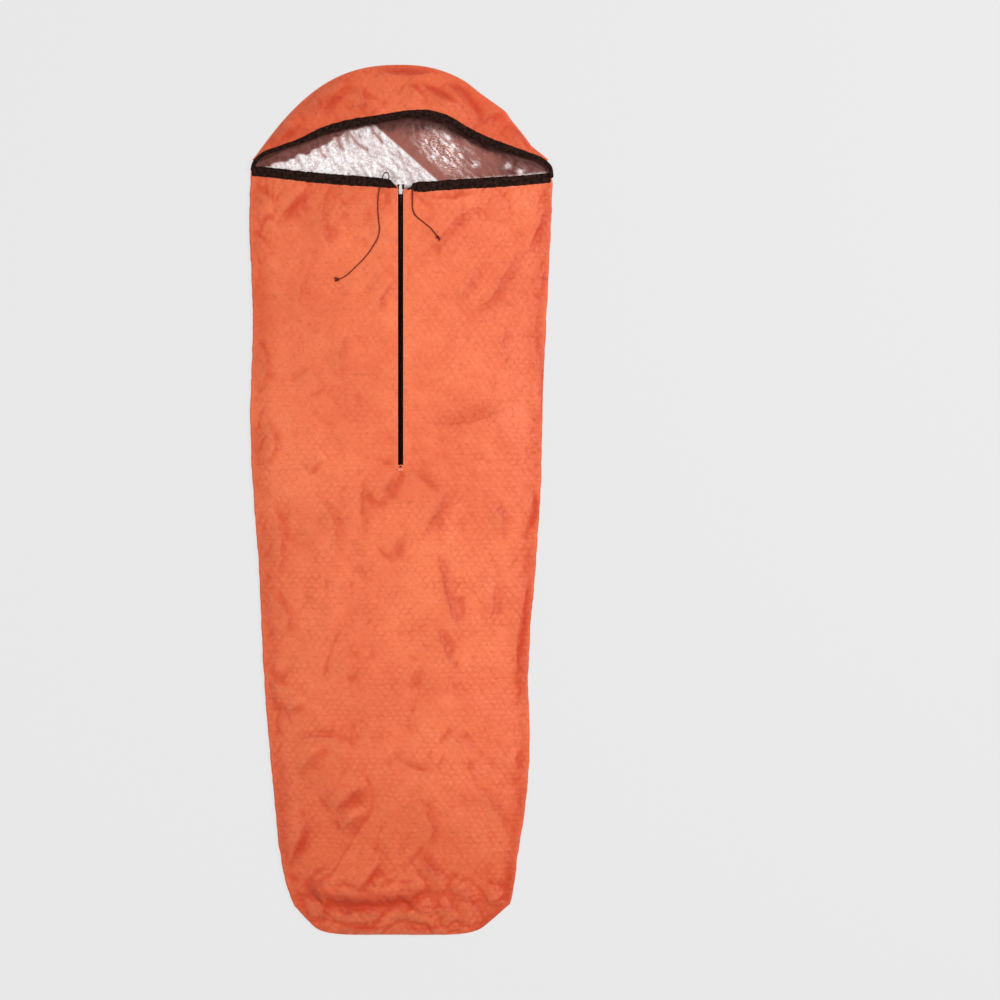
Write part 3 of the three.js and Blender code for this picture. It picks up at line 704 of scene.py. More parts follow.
def film_outside():
    """Orange film, with painted shade in shaded places and hollows, a painted highlight on ridges, and
    faint hexagons.
    """
    s = Shader(
        "film_outside", roughness=0.5, specular_ior_level=0.22, sheen_weight=0.02, sheen_roughness=0.5
    )
    place = s.place()
    blotch = s.noise(place, 3.2, 4.0, 0.6, 0.4)
    mottle = s.noise(place, 22.0, 4.0, 0.65)
    body = s.mix(s.ramp(blotch, 0.34, 0.68), colour(233, 107, 67), colour(247, 125, 81))
    body = s.tinted(body, s.ramp(mottle, 0.35, 0.75), 0.35, colour(251, 137, 93))
    # Painted shade: darker and redder at the edges, by the mouth, towards the foot, on fold sides and on
    # the hood.
    body = s.tinted(body, s.reading("painted_shade"), 0.55, colour(200, 64, 31))
    rippled = s.noise(s.scaled(place, (1, 2.2, 1)), 130.0, 3.0, 0.7, 0.8)
    body = s.tinted(body, s.ramp(rippled, 0.52, 0.68), 0.36, colour(208, 76, 42))
    # The crumple lines are darker: painted shade in the creases, stronger where the film is shaded.
    lines = s.math("MAXIMUM", creased_lines(s, place, 15.0, 0.018), creased_lines(s, place, 38.0, 0.03))
    crease_shade = s.mixed(s.reading("painted_shade"), 0.22, 0.62)
    body = s.tinted(body, lines, crease_shade, colour(196, 62, 30))
    edges = hexagon_edges(s, place, 0.0185, 0.0128)
    line = s.flip(s.ramp(edges, 0.02, 0.14))
    towards_foot = s.split(s.scaled(place, (1, -1, 1)))[1]
    strength = s.mixed(s.ramp(towards_foot, -0.35, 0.15), 0.38, 0.72)
    patches = s.times(s.ramp(s.noise(place, 13.0, 3.0, 0.65), 0.38, 0.62), strength)
    # The hexagons' edges are darker and their domed middles paler: painted shade and painted highlight on
    # the embossed cells.
    body = s.tinted(body, s.times(patches, line), 0.27, colour(200, 66, 34))
    domes = s.times(patches, s.ramp(edges, 0.2, 0.45))
    body = s.tinted(body, domes, 0.16, colour(255, 148, 104))
    # Painted shade in the hollows and a painted highlight on the ridges.
    body = s.tinted(body, s.reading("hollow"), 0.52, colour(204, 62, 29))
    body = s.tinted(body, s.reading("ridge"), 0.12, colour(255, 148, 106))
    s.set("Base Color", body)
    s.set("Roughness", s.mixed(s.ramp(mottle, 0.3, 0.7), 0.4, 0.54))
    cells = s.bump(s.ramp(edges, 0.0, 0.35), 0.0006, 0.8, s.bump(lines, -0.0008, 0.6))
    crumple = s.bump(s.noise(place, 80.0, 4.0, 0.62, 1.0), 0.001, 0.55, cells)
    crumple = s.bump(rippled, 0.0007, 0.55, crumple)
    s.set("Normal", s.bump(weave(s, place, 0.0014), 0.00005, 0.5, crumple))
    return s.material


def film_inside():
    """Painted reflection: near white where the reflection tone is 1, brown (orange mirrored) at 0;
    painted shadow where shade is 1.
    """
    s = Shader("film_inside", roughness=0.3, specular_ior_level=0.45)
    place = s.place()
    reflection_tone = s.reading("reflection_tone")
    fleck = s.noise(place, 260.0, 3.0, 0.75, 0.8)
    crack = s.noise(place, 120.0, 4.0, 0.7, 1.6)
    # The white turns pink in patches: painted reflection of the orange.
    bright = s.mix(s.ramp(crack, 0.35, 0.47), colour(204, 172, 169), colour(255, 250, 250))
    # The crinkles between the cells are darker: painted shade in the crinkles.
    cell = s.add("ShaderNodeTexVoronoi", {"feature": "DISTANCE_TO_EDGE"}, Vector=place, Scale=105.0)
    gaps = s.flip(s.ramp(cell.outputs["Distance"], 0.02, 0.16))
    crinkle_shade = s.times(gaps, s.ramp(s.noise(place, 60.0), 0.42, 0.6))
    bright = s.tinted(bright, crinkle_shade, 0.55, colour(170, 132, 128))
    # Painted glints: pale flecks in the mirrored brown.
    dash = s.noise(s.scaled(place, (1, 2.2, 1)), 190.0, 3.0, 0.8, 0.6)
    brown = s.mix(s.ramp(dash, 0.47, 0.62), colour(162, 97, 85), colour(232, 202, 195))
    brown = s.mix(s.ramp(s.reading("plain"), 0.0, 1.0), brown, colour(152, 88, 76))
    body = s.mix(reflection_tone, brown, bright)
    s.set("Base Color", s.mix(s.reading("shade"), body, colour(56, 8, 4)))
    dull = s.math("MAXIMUM", s.reading("plain"), s.reading("shade"))
    s.set("Metallic", s.mixed(s.math("ADD", reflection_tone, dull), 0.35, 0.0))
    shine = s.mixed(s.ramp(fleck, 0.3, 0.7), 0.28, 0.44)
    s.set("Roughness", s.math("ADD", shine, s.times(dull, 0.3)))
    fine = s.bump(s.noise(place, 150.0, 3.0, 0.65, 1.2), 0.0013, 0.6)
    edges = hexagon_edges(s, place, 0.0092, 0.0064)
    s.set("Normal", s.bump(s.ramp(edges, 0.0, 0.25), 0.00025, 0.5, fine))
    return s.material


def mottled(name, scale, detail, dark, light, flat=True, stretch=(1, 1, 1), **constants):
    """A shader mottled between two colours, with its place on the piece and the mottle itself."""
    s = Shader(name, **constants)
    place = s.place(flat)
    mottle = s.noise(place if stretch == (1, 1, 1) else s.scaled(place, stretch), scale, detail)
    s.set("Base Color", s.mix(mottle, dark, light))
    return s, place, mottle


def woven_tape(name, scale, detail, dark, light, weave_looks, **constants):
    """weave_looks holds the pitch of the weave, its depth and its strength."""
    s, place, _ = mottled(name, scale, detail, dark, light, **constants)
    pitch, depth, strength = weave_looks
    s.set("Normal", s.bump(weave(s, place, pitch), depth, strength))
    return s.material


def binding_cloth():
    s = Shader(
        "binding_cloth", roughness=0.7, specular_ior_level=0.12, sheen_weight=0.02, sheen_roughness=0.4
    )
    place = s.place()
    pucker = s.noise(place, 120.0, 3.0, 0.6)
    # Paler where the puckers stand up: a painted highlight on them, over the cloth's uneven black.
    s.set("Base Color", s.mix(s.ramp(pucker, 0.35, 0.75), colour(14, 3, 0), colour(60, 32, 24)))
    s.set("Roughness", s.mixed(pucker, 0.65, 0.9))
    threads = s.bump(weave(s, place, 0.001), 0.00012, 0.8)
    s.set("Normal", s.bump(pucker, 0.0009, 0.7, threads))
    return s.material


def braided_cord():
    s = Shader("braided_cord", roughness=0.7, specular_ior_level=0.3)
    place = s.place(flat=False)
    fuzz = s.noise(place, 900.0, 2.0)
    # Near the binding and over it, the cord is painted near black: painted shade.
    upwards = s.split(place)[1]
    cord_colour = s.mix(fuzz, colour(74, 14, 6), colour(124, 34, 14))
    s.set("Base Color", s.mix(s.ramp(upwards, 0.732, 0.752), cord_colour, colour(26, 12, 9)))
    split = s.split(s.scaled(place, (3600, 3600, 3600)))
    one = s.math("SINE", s.math("ADD", split[0], split[1]))
    two = s.math("SINE", s.math("SUBTRACT", split[0], split[1]))
    s.set("Normal", s.bump(s.times(one, two), 0.0002, 0.7))
    return s.material


def coil_nylon():
    dark, light = colour(14, 2, 1), colour(30, 6, 3)
    s, _, wear = mottled("coil_nylon", 300.0, 2.0, dark, light, roughness=0.5, specular_ior_level=0.08)
    s.set("Roughness", s.mixed(wear, 0.35, 0.55))
    return s.material


def slider_metal():
    dark, light = colour(230, 228, 226), colour(254, 252, 251)
    s, _, brushed = mottled(
        "slider_metal", 400.0, 3.0, dark, light, flat=False, stretch=(1, 14, 1),
        metallic=0.35, roughness=0.3,
    )
    s.set("Roughness", s.mixed(brushed, 0.2, 0.38))
    s.set("Normal", s.bump(brushed, 0.00004, 0.4))
    return s.material


def blacked_metal():
    s = Shader("blacked_metal", metallic=0.7, roughness=0.4)
    wear = s.noise(s.place(flat=False), 900.0, 3.0)
    s.set("Base Color", s.mix(s.ramp(wear, 0.55, 0.8), colour(26, 20, 19), colour(70, 62, 60)))
    s.set("Roughness", s.mixed(wear, 0.3, 0.55))
    return s.material


def sewing_thread(name, dark, light):
    s, _, ply = mottled(
        name, 1500.0, 2.0, dark, light, flat=False, stretch=(1, 0.3, 1),
        roughness=0.6, specular_ior_level=0.35,
    )
    s.set("Normal", s.bump(ply, 0.0001, 0.6))
    return s.material


def floor_paper():
    """A pale floor that glows a little, so that the shadows on it stay faint."""
    s = Shader("floor_paper", roughness=0.9, specular_ior_level=0.0)
    grain = s.noise(s.place(flat=False), 60.0, 2.0)
    s.set("Base Color", s.mix(grain, (0.085, 0.085, 0.085, 1), (0.09, 0.09, 0.09, 1)))
    s.surface.inputs["Emission Color"].default_value = (1, 0.994, 0.994, 1)
    s.surface.inputs["Emission Strength"].default_value = 0.73
    return s.material


FILM_OUTSIDE = film_outside()
FILM_INSIDE = film_inside()
SEAM_TAPE = woven_tape(
    "seam_tape", 40.0, 3.0, colour(176, 66, 34), colour(214, 92, 56), (0.0012, 0.0001, 0.6),
    roughness=0.5, specular_ior_level=0.35,
)
BINDING_CLOTH = binding_cloth()
BRAIDED_CORD = braided_cord()
ZIP_TAPE_CLOTH = woven_tape(
    "zip_tape_cloth", 500.0, 2.0, colour(20, 3, 1), colour(36, 8, 4), (0.0009, 0.00012, 0.8),
    roughness=0.8, specular_ior_level=0.04,
)
COIL_NYLON = coil_nylon()
SLIDER_METAL = slider_metal()
BLACKED_METAL = blacked_metal()
GREY_THREAD = sewing_thread("grey_thread", colour(176, 160, 160), colour(222, 212, 214))
BLACK_THREAD = sewing_thread("black_thread", colour(30, 22, 20), colour(58, 46, 44))
ORANGE_THREAD = sewing_thread("orange_thread", colour(236, 138, 104), colour(252, 176, 146))


# ---------------------------------------------------------------- camera, light and floor


CAMERA_PLACE = (0.238, 0, 5.70)
HORIZON = (0.81, 0.805, 0.805, 1)
OVERHEAD = (0.36, 0.36, 0.365, 1)


def add_camera():
    """Straight above the sack, with the sack on the left of the picture."""
    data = bpy.data.cameras.new("camera")
    data.lens, data.sensor_width = 85, 36
    data.clip_end = 100
    camera = bpy.data.objects.new("camera", data)
    camera.location = CAMERA_PLACE
    bpy.context.scene.collection.objects.link(camera)
    bpy.context.scene.camera = camera


def add_light(name, place, size, power):
    """A round light aimed at the middle of the sack."""
    data = bpy.data.lights.new(name, "AREA")
    data.shape, data.size = "DISK", size
    data.energy = power
    light = bpy.data.objects.new(name, data)
    light.location = place
    light.rotation_euler = (-Vector(place)).to_track_quat("-Z", "Y").to_euler()
    bpy.context.scene.collection.objects.link(light)


def add_world():
    """Pale at the horizon, like the floor, and dimmer overhead."""
    world = bpy.data.worlds.new("studio")
    world.use_nodes = True
    bpy.context.scene.world = world
    tree = world.node_tree
    background = tree.nodes["Background"]
    where = tree.nodes.new("ShaderNodeTexCoord")
    split = tree.nodes.new("ShaderNodeSeparateXYZ")
    band = tree.nodes.new("ShaderNodeMapRange")
    band.inputs["From Min"].default_value = 0.1
    band.inputs["From Max"].default_value = 0.5
    mix = tree.nodes.new("ShaderNodeMix")
    mix.data_type = "RGBA"
    mix.inputs[6].default_value = HORIZON
    mix.inputs[7].default_value = OVERHEAD
    tree.links.new(where.outputs["Generated"], split.inputs[0])
    tree.links.new(split.outputs[2], band.inputs["Value"])
    tree.links.new(band.outputs[0], mix.inputs[0])
    tree.links.new(mix.outputs[2], background.inputs["Color"])


def add_floor():
    reach, under = 40000, -0.4
    corners = [(x * reach, y * reach, under) for x, y in ((-1, -1), (1, -1), (1, 1), (-1, 1))]
    plain_object("floor", corners, [[0, 1, 2, 3]], floor_paper())


def add_studio():
    add_camera()
    add_world()
    add_light("key", (3.7, 1.5, 4.8), 1.8, 262)
    add_light("fill", (-2.6, -0.6, 3.4), 3.0, 36)
    add_floor()
    bpy.context.scene.view_settings.view_transform = "Standard"


# ---------------------------------------------------------------- films


LEFT_RIM = [(-360, 793), (-337, 791), (-237, 778), (-139, 768), (-42, 760), (-16, 757)]
RIGHT_RIM = [(32, 749), (61, 751), (128, 757), (202, 762), (300, 770), (360, 777)]
HOOD_RIM = [
    (-358, 792), (-355, 808), (-338, 828), (-290, 847), (-237, 864), (-188, 885),
    (-139, 899), (-42, 916), (31, 928), (73, 927), (105, 918), (153, 889),
    (202, 864), (300, 832), (341, 818), (358, 802), (362, 776),
]


def rim_y(x):
    """Where the front film ends, under the middle of the binding."""
    (low_x, low_y), (high_x, high_y) = LEFT_RIM[-1], RIGHT_RIM[0]
    middle = through([(low_x, low_y), (6, 745), (high_x, high_y)], x)
    right = np.where(x > high_x, through(RIGHT_RIM, x), middle)
    return np.where(x < low_x, through(LEFT_RIM, x), right)


def hood_rim_height(x):
    """The hood's rim stands up in the middle and comes down to the mouth's corners."""
    low, arch, half = 13, 27, 356
    return low + arch * np.clip(1 - (np.abs(x) / half) ** 2, 0, 1) ** 0.8


def rolled_top(x, y):
    """Height of the front film, which rolls over and down at the very foot."""
    turned = np.clip(1 - (y - FOOT_Y) / ROLL, 0, 1)
    return EDGE_LOW + (front_top(x, y) - EDGE_LOW) * np.sqrt(1 - turned**2)


def rolled_rows(brim, away):
    """Rows of points that take the film round its outer edge and down to the back film."""
    depth = np.clip(brim[:, 2:] - EDGE_LOW, 0, None)
    rows = []
    for angle in (30, 60, 90):
        a = math.radians(angle)
        flat = brim[:, :2] + away * ROLL * math.sin(a)
        rows.append(np.concatenate([flat, brim[:, 2:] - depth * 0.8 * (1 - math.cos(a))], 1))
    rows.append(np.concatenate([brim[:, :2] + away * ROLL * 0.7, brim[:, 2:] - depth], 1))
    return rows


def half_front(side):
    """The grid of one half of the front, from the foot to the mouth, and its rows of y."""
    foot = FOOT_Y + (FOOT_LINE_Y - FOOT_Y) * np.linspace(0, 1, 30)[:-1] ** 1.5
    lower = np.linspace(FOOT_LINE_Y, ZIP_BOTTOM_Y, 245)
    upper = np.linspace(0, 1, 204)[1:]
    t = np.linspace(0, 1, 96)
    share = 1 - (1 - t) ** 1.15
    rough_x = side * (SLIT_HALF + (MOUTH_HALF - SLIT_HALF) * share)
    y_low = np.repeat(np.concatenate([foot, lower])[:, None], len(t), 1)
    y_high = ZIP_BOTTOM_Y + (rim_y(rough_x)[None] - ZIP_BOTTOM_Y) * upper[:, None]
    y = np.concatenate([y_low, y_high])
    half = edge_x(y, side) - ROLL
    x = side * (SLIT_HALF + (half - SLIT_HALF) * share[None])
    grid = np.stack([x, y, rolled_top(x, y)], 2)
    grid = np.concatenate([grid, np.stack(rolled_rows(grid[:, -1], np.array([side, 0])), 1)], 1)
    return (grid[:, ::-1] if side < 0 else grid), len(foot), len(foot) + len(lower)


def film(piece, body, node):
    """The piece takes the place of a CAD node and rides a body, if any."""
    set_up(piece, node, body)


def add_front():
    left, foot_row, slit_row = half_front(-1)
    right, _, _ = half_front(1)
    y = left[:slit_row, -1, 1]
    middle = np.stack([0 * y, y, rolled_top(0 * y, y)], 1)[:, None]
    whole = np.concatenate([left[:slit_row], middle, right[:slit_row]], 1)
    normal_left, normal_right = grid_normals(left), grid_normals(right)
    normal_whole = grid_normals(whole)
    columns = left.shape[1]
    normal_whole[-1, :columns] = normal_left[slit_row - 1]
    normal_whole[-1, -columns:] = normal_right[slit_row - 1]
    hollow, ridge = hollows(whole)

    def part(name, rows, grid, normals, hollow, ridge):
        painted_shade = front_painted_shade(grid[rows, :, 0], grid[rows, :, 1])
        values = {"hollow": hollow[rows], "ridge": ridge[rows], "painted_shade": painted_shade}
        films = (FILM_OUTSIDE, FILM_INSIDE)
        return sheet_piece(name, grid[rows], *films, normals=normals[rows], values=values)

    foot_film = part("foot_film", slice(0, foot_row + 1), whole, normal_whole, hollow, ridge)
    film(foot_film, "sack", "foot_panel")
    lower = part("front_film_lower", slice(foot_row, slit_row), whole, normal_whole, hollow, ridge)
    film(lower, "sack", "front_panel")
    for hand, grid, normals in (("left", left, normal_left), ("right", right, normal_right)):
        piece = part(f"front_film_{hand}", slice(slit_row - 1, None), grid, normals, *hollows(grid))
        film(piece, None, f"front_flap_{hand}")
        bend_at_fold(piece)


def front_painted_shade(x, y):
    """Painted shade on the orange, from 0 to 1: more at the edges, by the mouth and towards the foot."""
    half = half_width(x, y)
    at_edge = np.where(x < 0, 0.7, 0.85) * ramp(np.abs(x) / half, 0.82, 0.99)
    at_edge = at_edge * (1 + 0.5 * layered_noise(x, y, 110, 91, 2))
    at_foot = 0.35 * ramp(-560 - y, 0, 200) + 0.4 * ramp(-850 - y, 0, 110)
    at_mouth = 0.3 * ramp(y, 660, 750) * ramp(-x, -60, 160)
    # Painted shadow under the fold that hangs over the foot.
    across, place = near_line(x, y, FOOT_OVERHANG, 60)
    under = 1.7 * np.exp(-(((across + 12) / 17) ** 2)) * np.sin(np.pi * place) ** 0.5
    # Painted shade on the steep sides of the folds.
    shade = 1.3 * add_folds(x, y, FRONT_FOLDS)[1]
    return np.clip(at_edge + at_foot + at_mouth + under + shade, 0, 1.8)


def bend_at_fold(piece):
    """Bakes the piece's placing into its points."""
    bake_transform(piece)


def hood_grid():
    """The hood's grid, from its binding to the crown and round it, and how far its folds shade it."""
    rim = curve_points(HOOD_RIM[:-1], 3.1)
    share = np.linspace(-1, 1, len(rim))
    left = share < 0
    spread = np.sign(share) * np.abs(share) ** 0.92
    crown_x = np.where(left, CROWN_LEFT - ROLL, CROWN_RIGHT - ROLL) * spread
    crown_y = CROWN_Y - ROLL - (CROWN_DROP - ROLL) * np.abs(spread) ** np.where(left, 2.5, 2.247)
    crown_x = crown_x + np.where(left, -crown_bump(crown_y, -1), crown_bump(crown_y, 1))
    crown_x = crown_x + np.where(share > 0.93, (share - 0.93) * 260, 0)
    out = np.stack([crown_x, crown_y], 1) - rim
    v = np.linspace(0, 1, 58)[:, None]
    x = rim[None, :, 0] + v * out[None, :, 0]
    y = rim[None, :, 1] + v * out[None, :, 1]
    start = hood_rim_height(rim[:, 0])[None]
    z = start + (EDGE_Z - start) * v**2.2
    net = 1.5 * creased_noise(x + 0.5 * y, y, 80, 72, 1.4) + 0.4 * creased_noise(x, y, 34, 75)
    folds, shade = add_folds(x, y, HOOD_FOLDS, 1.7)
    wrinkle = folds - net + 2.4 * layered_noise(x, y, 100, 40, 2)
    held = ramp(v, 0, 0.14) * (0.3 + 0.7 * (1 - ramp(v, 0.82, 1)))
    z = np.maximum(z + held * wrinkle, EDGE_Z - 2)
    grid = np.stack([x, y, z], 2)
    brim = grid[-1]
    round_crown = np.gradient(brim[:, :2], axis=0)
    away = np.stack([-round_crown[:, 1], round_crown[:, 0]], 1)
    away /= np.maximum(np.linalg.norm(away, axis=1, keepdims=True), 1e-6)
    return np.concatenate([grid, np.array(rolled_rows(brim, away))]), shade


def add_hood():
    grid, shade = hood_grid()
    hollow, ridge = hollows(grid)
    # Painted shade on the hood: darker all over, more towards the crown's edge and at the sides, and on
    # its folds.
    at_edge = ramp(np.arange(len(grid)) / len(grid), 0.7, 0.95)[:, None]
    aside = ramp(np.abs(grid[:, :, 0]), 60, 240) + 0.4 * ramp(grid[:, :, 0], 120, 300)
    painted_shade = 0.5 + 0.45 * at_edge + 0.4 * aside * (1 - at_edge)
    painted_shade[: len(shade)] += 1.6 * shade
    values = {"hollow": hollow, "ridge": ridge, "painted_shade": painted_shade}
    piece = sheet_piece("hood_film", grid, FILM_OUTSIDE, FILM_INSIDE, values=values)
    film(piece, "sack", "hood_front_panel")


def lining_zone(x, y):
    """Distance to the right of the slanting fold that crosses the lining."""
    return (x + 65) * 0.663 + (y - 903) * 0.749


def lining_height(x, y):
    """The back film is puffed up and crinkled inside the mouth."""
    rng = np.random.default_rng(5)
    creases = []
    for kind in LINING_CREASES:
        creases += random_creases(rng, *kind)
    zone = lining_zone(x, y)
    half = half_width(x, y)
    inside = ramp(y, 580, 755) * (1 - ramp(y, 905, 975)) * ramp(half - np.abs(x), 8, 60)
    step = 7 * np.exp(-((np.clip(-zone, 0, None) / 60) ** 1.3)) * (1 - ramp(zone, 0, 20))
    swell = 9 + 4 * layered_noise(x, y, 90, 51, 3) + step
    smooth_band = 1 - 0.75 * np.exp(-(((zone - 11) / 9) ** 2))
    crackle = 1.6 * creased_noise(x + 0.6 * y, y, 13, 81, 1.4) + 0.9 * creased_noise(x, y, 6.5, 84)
    return inside * (swell + smooth_band * (add_creases(x, y, creases) + crackle))


def lining_looks(x, y, normals):
    """Painted reflection on the silver: bright left of the slanting fold, the orange hood mirrored right
    of it, with painted glints, and painted shadow under the binding.
    """
    zone = lining_zone(x, y)
    beyond = ramp(zone, -1.5, 1.5) * ramp(y, 690, 742)
    # How far the film faces the key light, for painted light and glints on the silver.
    lit = normals @ np.array([0.55, 0.5, 0.67])
    under_rim = hood_edge_y(x) - y
    ragged = 7 * layered_noise(x, y, 24, 70, 3)
    # A brown strip with painted shadow under the binding on the left.
    strip = ramp(11 + 23 * ramp(-x, 110, 200) - under_rim + ragged, -4, 4)
    streak, glow = np.zeros(x.shape), np.zeros(x.shape)
    for points in LINING_STREAKS:
        gap, _ = near_line(x + ragged / 2, y, points, 16)
        streak = np.maximum(streak, np.exp(-((gap / 5) ** 2)))
    for spot_x, spot_y in LINING_GLINTS:
        glow = np.maximum(glow, np.exp(-(((x - spot_x) / 9) ** 2) - ((y - spot_y) / 8) ** 2))
    speckled = ramp(layered_noise(x + 0.4 * y, 0.3 * y, 40, 70, 3), 0.0, 0.5)
    speckled = speckled * ramp(60 - under_rim, 0, 44)
    left_reflection = (0.6 + 0.4 * ramp(lit, 0.35, 0.7)) * (1 - 0.6 * speckled)
    left_reflection = left_reflection * (1 - 0.9 * streak) * (1 - strip)
    # The mirrored part has painted sparkle round one spot, further along the fold than away from it.
    from_x, from_y = x - 104, y - 842
    along, off = 0.62 * from_x - 0.78 * from_y, 0.78 * from_x + 0.62 * from_y
    sparkle = np.exp(-((along / 72) ** 2) - (off / 42) ** 2)
    sparkle = np.clip(sparkle * (1 + 0.5 * layered_noise(x, y, 22, 78, 2)), 0, 1)
    bright_lip = 0.8 * (1 - ramp(y - rim_y(x), 12, 20)) * ramp(x, 110, 160)
    glint = 0.95 * ramp(lit, 0.72, 0.9) * sparkle
    glint = glint + (glow + bright_lip) * ramp(lit + 0.2 * glow, 0.55, 0.8)
    right_reflection = np.where(zone > 24, np.clip(glint, 0, 1), 0) * ramp(under_rim, 16, 34)
    plain = np.maximum(1 - ramp(zone, 18, 28), 1 - np.clip(1.2 * sparkle + 0.6 * bright_lip, 0, 1))
    peak = np.exp(-(((x - 50) / 90) ** 2))
    mottled = 0.8 + 0.5 * layered_noise(x, y, 9, 79, 2)
    right_shade = 0.8 * (1 - ramp(under_rim + ragged, 16 + 8 * peak, 32 + 20 * peak))
    right_shade = np.maximum(right_shade, 0.75 * mottled * ramp(x, 205, 262))
    right_shade = right_shade * (1 - glow) * (1 - bright_lip)
    left_shade = np.maximum(0.8 * (1 - ramp(under_rim, 8, 18)), 0.62 * strip * mottled)
    return {
        "reflection_tone": np.clip(left_reflection + (right_reflection - left_reflection) * beyond, 0, 1),
        "plain": np.clip(beyond * plain + (1 - beyond) * np.maximum(strip, streak), 0, 1),
        "shade": np.clip(left_shade + (right_shade - left_shade) * beyond, 0, 1),
    }


def add_back():
    # The rows are close together where the lining shows in the mouth.
    lining_low, lining_high = 560, 965
    y_rows = np.concatenate([
        np.linspace(FOOT_Y + 4, lining_low, 70)[:-1],
        np.linspace(lining_low, lining_high, 161)[:-1],
        np.linspace(lining_high, CROWN_Y - 7, 12),
    ])
    t = np.linspace(-1, 1, 201)
    y = np.repeat(y_rows[:, None], len(t), 1)
    inset = 3.5 + 5 * ramp(y, CROWN_LOW_Y, 850)
    # At the right corner of the mouth the back film reaches under the binding.
    inset = inset - 7 * np.exp(-(((y - 815) / 9) ** 2)) * (t[None] > 0)
    x = np.where(t[None] < 0, edge_x(y, -1), edge_x(y, 1))
    x = (x - inset) * t[None]
    half = half_width(x, y)
    from_edge = np.minimum(half - np.abs(x), np.minimum(CROWN_Y - y, y - FOOT_Y))
    rise = 2.6 * np.clip(1 - from_edge / 40, 0, 1) ** 1.5
    ripple = 0.5 + 0.35 * layered_noise(x, y, 60, 60, 2)
    loose = ramp(y, 60, 300) * ramp(half - np.abs(x), 20, 120)
    ripple = ripple + 3 * loose * np.clip(0.6 + layered_noise(x, y, 130, 61, 3), 0, None)
    z = 0.9 + rise + ripple + np.clip(lining_height(x, y), -0.6, 30)
    grid = np.stack([x, y, z], 2)
    normals = grid_normals(grid)
    values = lining_looks(x, y, normals)
    piece = sheet_piece("back_film", grid, FILM_INSIDE, FILM_OUTSIDE, normals=normals, values=values)
    film(piece, "sack", "back_panel")


def hood_edge_y(x):
    """The y of the hood's binding above x."""
    return through([p for p in HOOD_RIM if -340 < p[0] < 345], x)


CROWN_SEAM = [
    (-318, 856), (-300, 876), (-250, 934), (-205, 975), (-135, 1018), (0, 1040),
    (120, 1015), (180, 975), (232, 934), (268, 884), (290, 856),
]
FOOT_SEAM = [
    (248, -972), (222, -1000), (170, -1032), (90, -1040), (0, -1041),
    (-90, -1040), (-170, -1032), (-222, -1000), (-248, -972),
]


def add_seams():
    """The sealed strips inside the edge, between the back film and the front."""
    inset, width, z = 9, 12, 5.6

    def strip(name, node, inner, outer):
        grid = np.stack([inner, outer], 1)
        grid = np.concatenate([grid, np.full(grid.shape[:2] + (1,), z)], 2)
        grid[:, :, 2] += 0.3 * noise(grid[:, :, 0] / 30, grid[:, :, 1] / 30, 80)
        set_up(sheet_piece(name, grid, SEAM_TAPE, SEAM_TAPE, thickness=TAPE_THICK), node, "sack")

    for hand, side in (("left", -1), ("right", 1)):
        y = np.linspace(-962, 786, 220)
        far = np.stack([side * (edge_x(y, side) - inset), y], 1)
        near = far - np.array([side * width, 0])
        strip(f"side_seal_{hand}", f"side_seam_{hand}", *((near, far) if side > 0 else (far, near)))
    for end, line in (("crown", CROWN_SEAM), ("foot", FOOT_SEAM)):
        path = curve_points(line, 8)
        strip(f"{end}_seal", f"{end}_seam", path - ways(path)[1] * width, path)


# ---------------------------------------------------------------- binding and drawcord


def rim_stations(points, heights, widths, seed, shear):
    """Rings of the ruched binding: flattened, puckered across, and a little uneven in width."""
    spacing, sides = 2.2, 16
    path = curve_points(points, spacing)
    share = np.linspace(0, 1, len(path))
    run = share * len(path) * spacing
    along, across = ways(path)
    z = heights(path[:, 0], path[:, 1])
    half = through(widths, share)
    uneven = 0.11 * noise(run / 15, 0 * run, seed) + 0.08 * noise(run / 4.5, 0 * run, seed + 1)
    half = half * (1 + uneven)
    rings = []
    for k in range(sides):
        angle = 2 * math.pi * k / sides
        c, s = math.cos(angle), math.sin(angle)
        reach = np.sign(c) * abs(c) ** 0.75
        lift = np.sign(s) * abs(s) ** 0.8
        phase = noise(run / 9, 0 * run + reach, seed + 3) * 1.4
        gather = 0.7 * np.cos(2 * math.pi * run / 7.5 + 2.2 * phase + 0.5 * reach)
        gather += 0.8 * noise(run / 5, 0 * run + 1.7 * reach, seed + 5)
        tall = RIM_HALF_HEIGHT * (1 - 0.25 * abs(reach)) + gather * (1 - reach**2) ** 0.3
        slide = -shear * reach * smooth((share - 0.9) / 0.1) * half
        xy = path + across * (half * reach)[:, None] + along * slide[:, None]
        rings.append(np.concatenate([xy, (z + tall * lift)[:, None]], 1))
    rings = np.stack(rings, 1)
    # The ends are turned in rather than cut square.
    for end in (0, -1):
        middle = rings[end].mean(0)
        rings[end] = middle + (rings[end] - middle) * 0.72
    return rings, path, across, z, half


def lay_cord(name, path, z):
    """A round cord as a curve through the points."""
    data = bpy.data.curves.new(name, "CURVE")
    data.dimensions = "3D"
    data.bevel_depth = CORD_RADIUS * MM
    data.bevel_resolution = 3
    data.use_fill_caps = True
    spline = data.splines.new("POLY")
    spline.points.add(len(path) - 1)
    for point, (x, y), h in zip(spline.points, path, z):
        point.co = (x * MM, y * MM, h * MM, 1)
    data.materials.append(BRAIDED_CORD)
    obj = bpy.data.objects.new(name, data)
    bpy.context.scene.collection.objects.link(obj)
    return obj


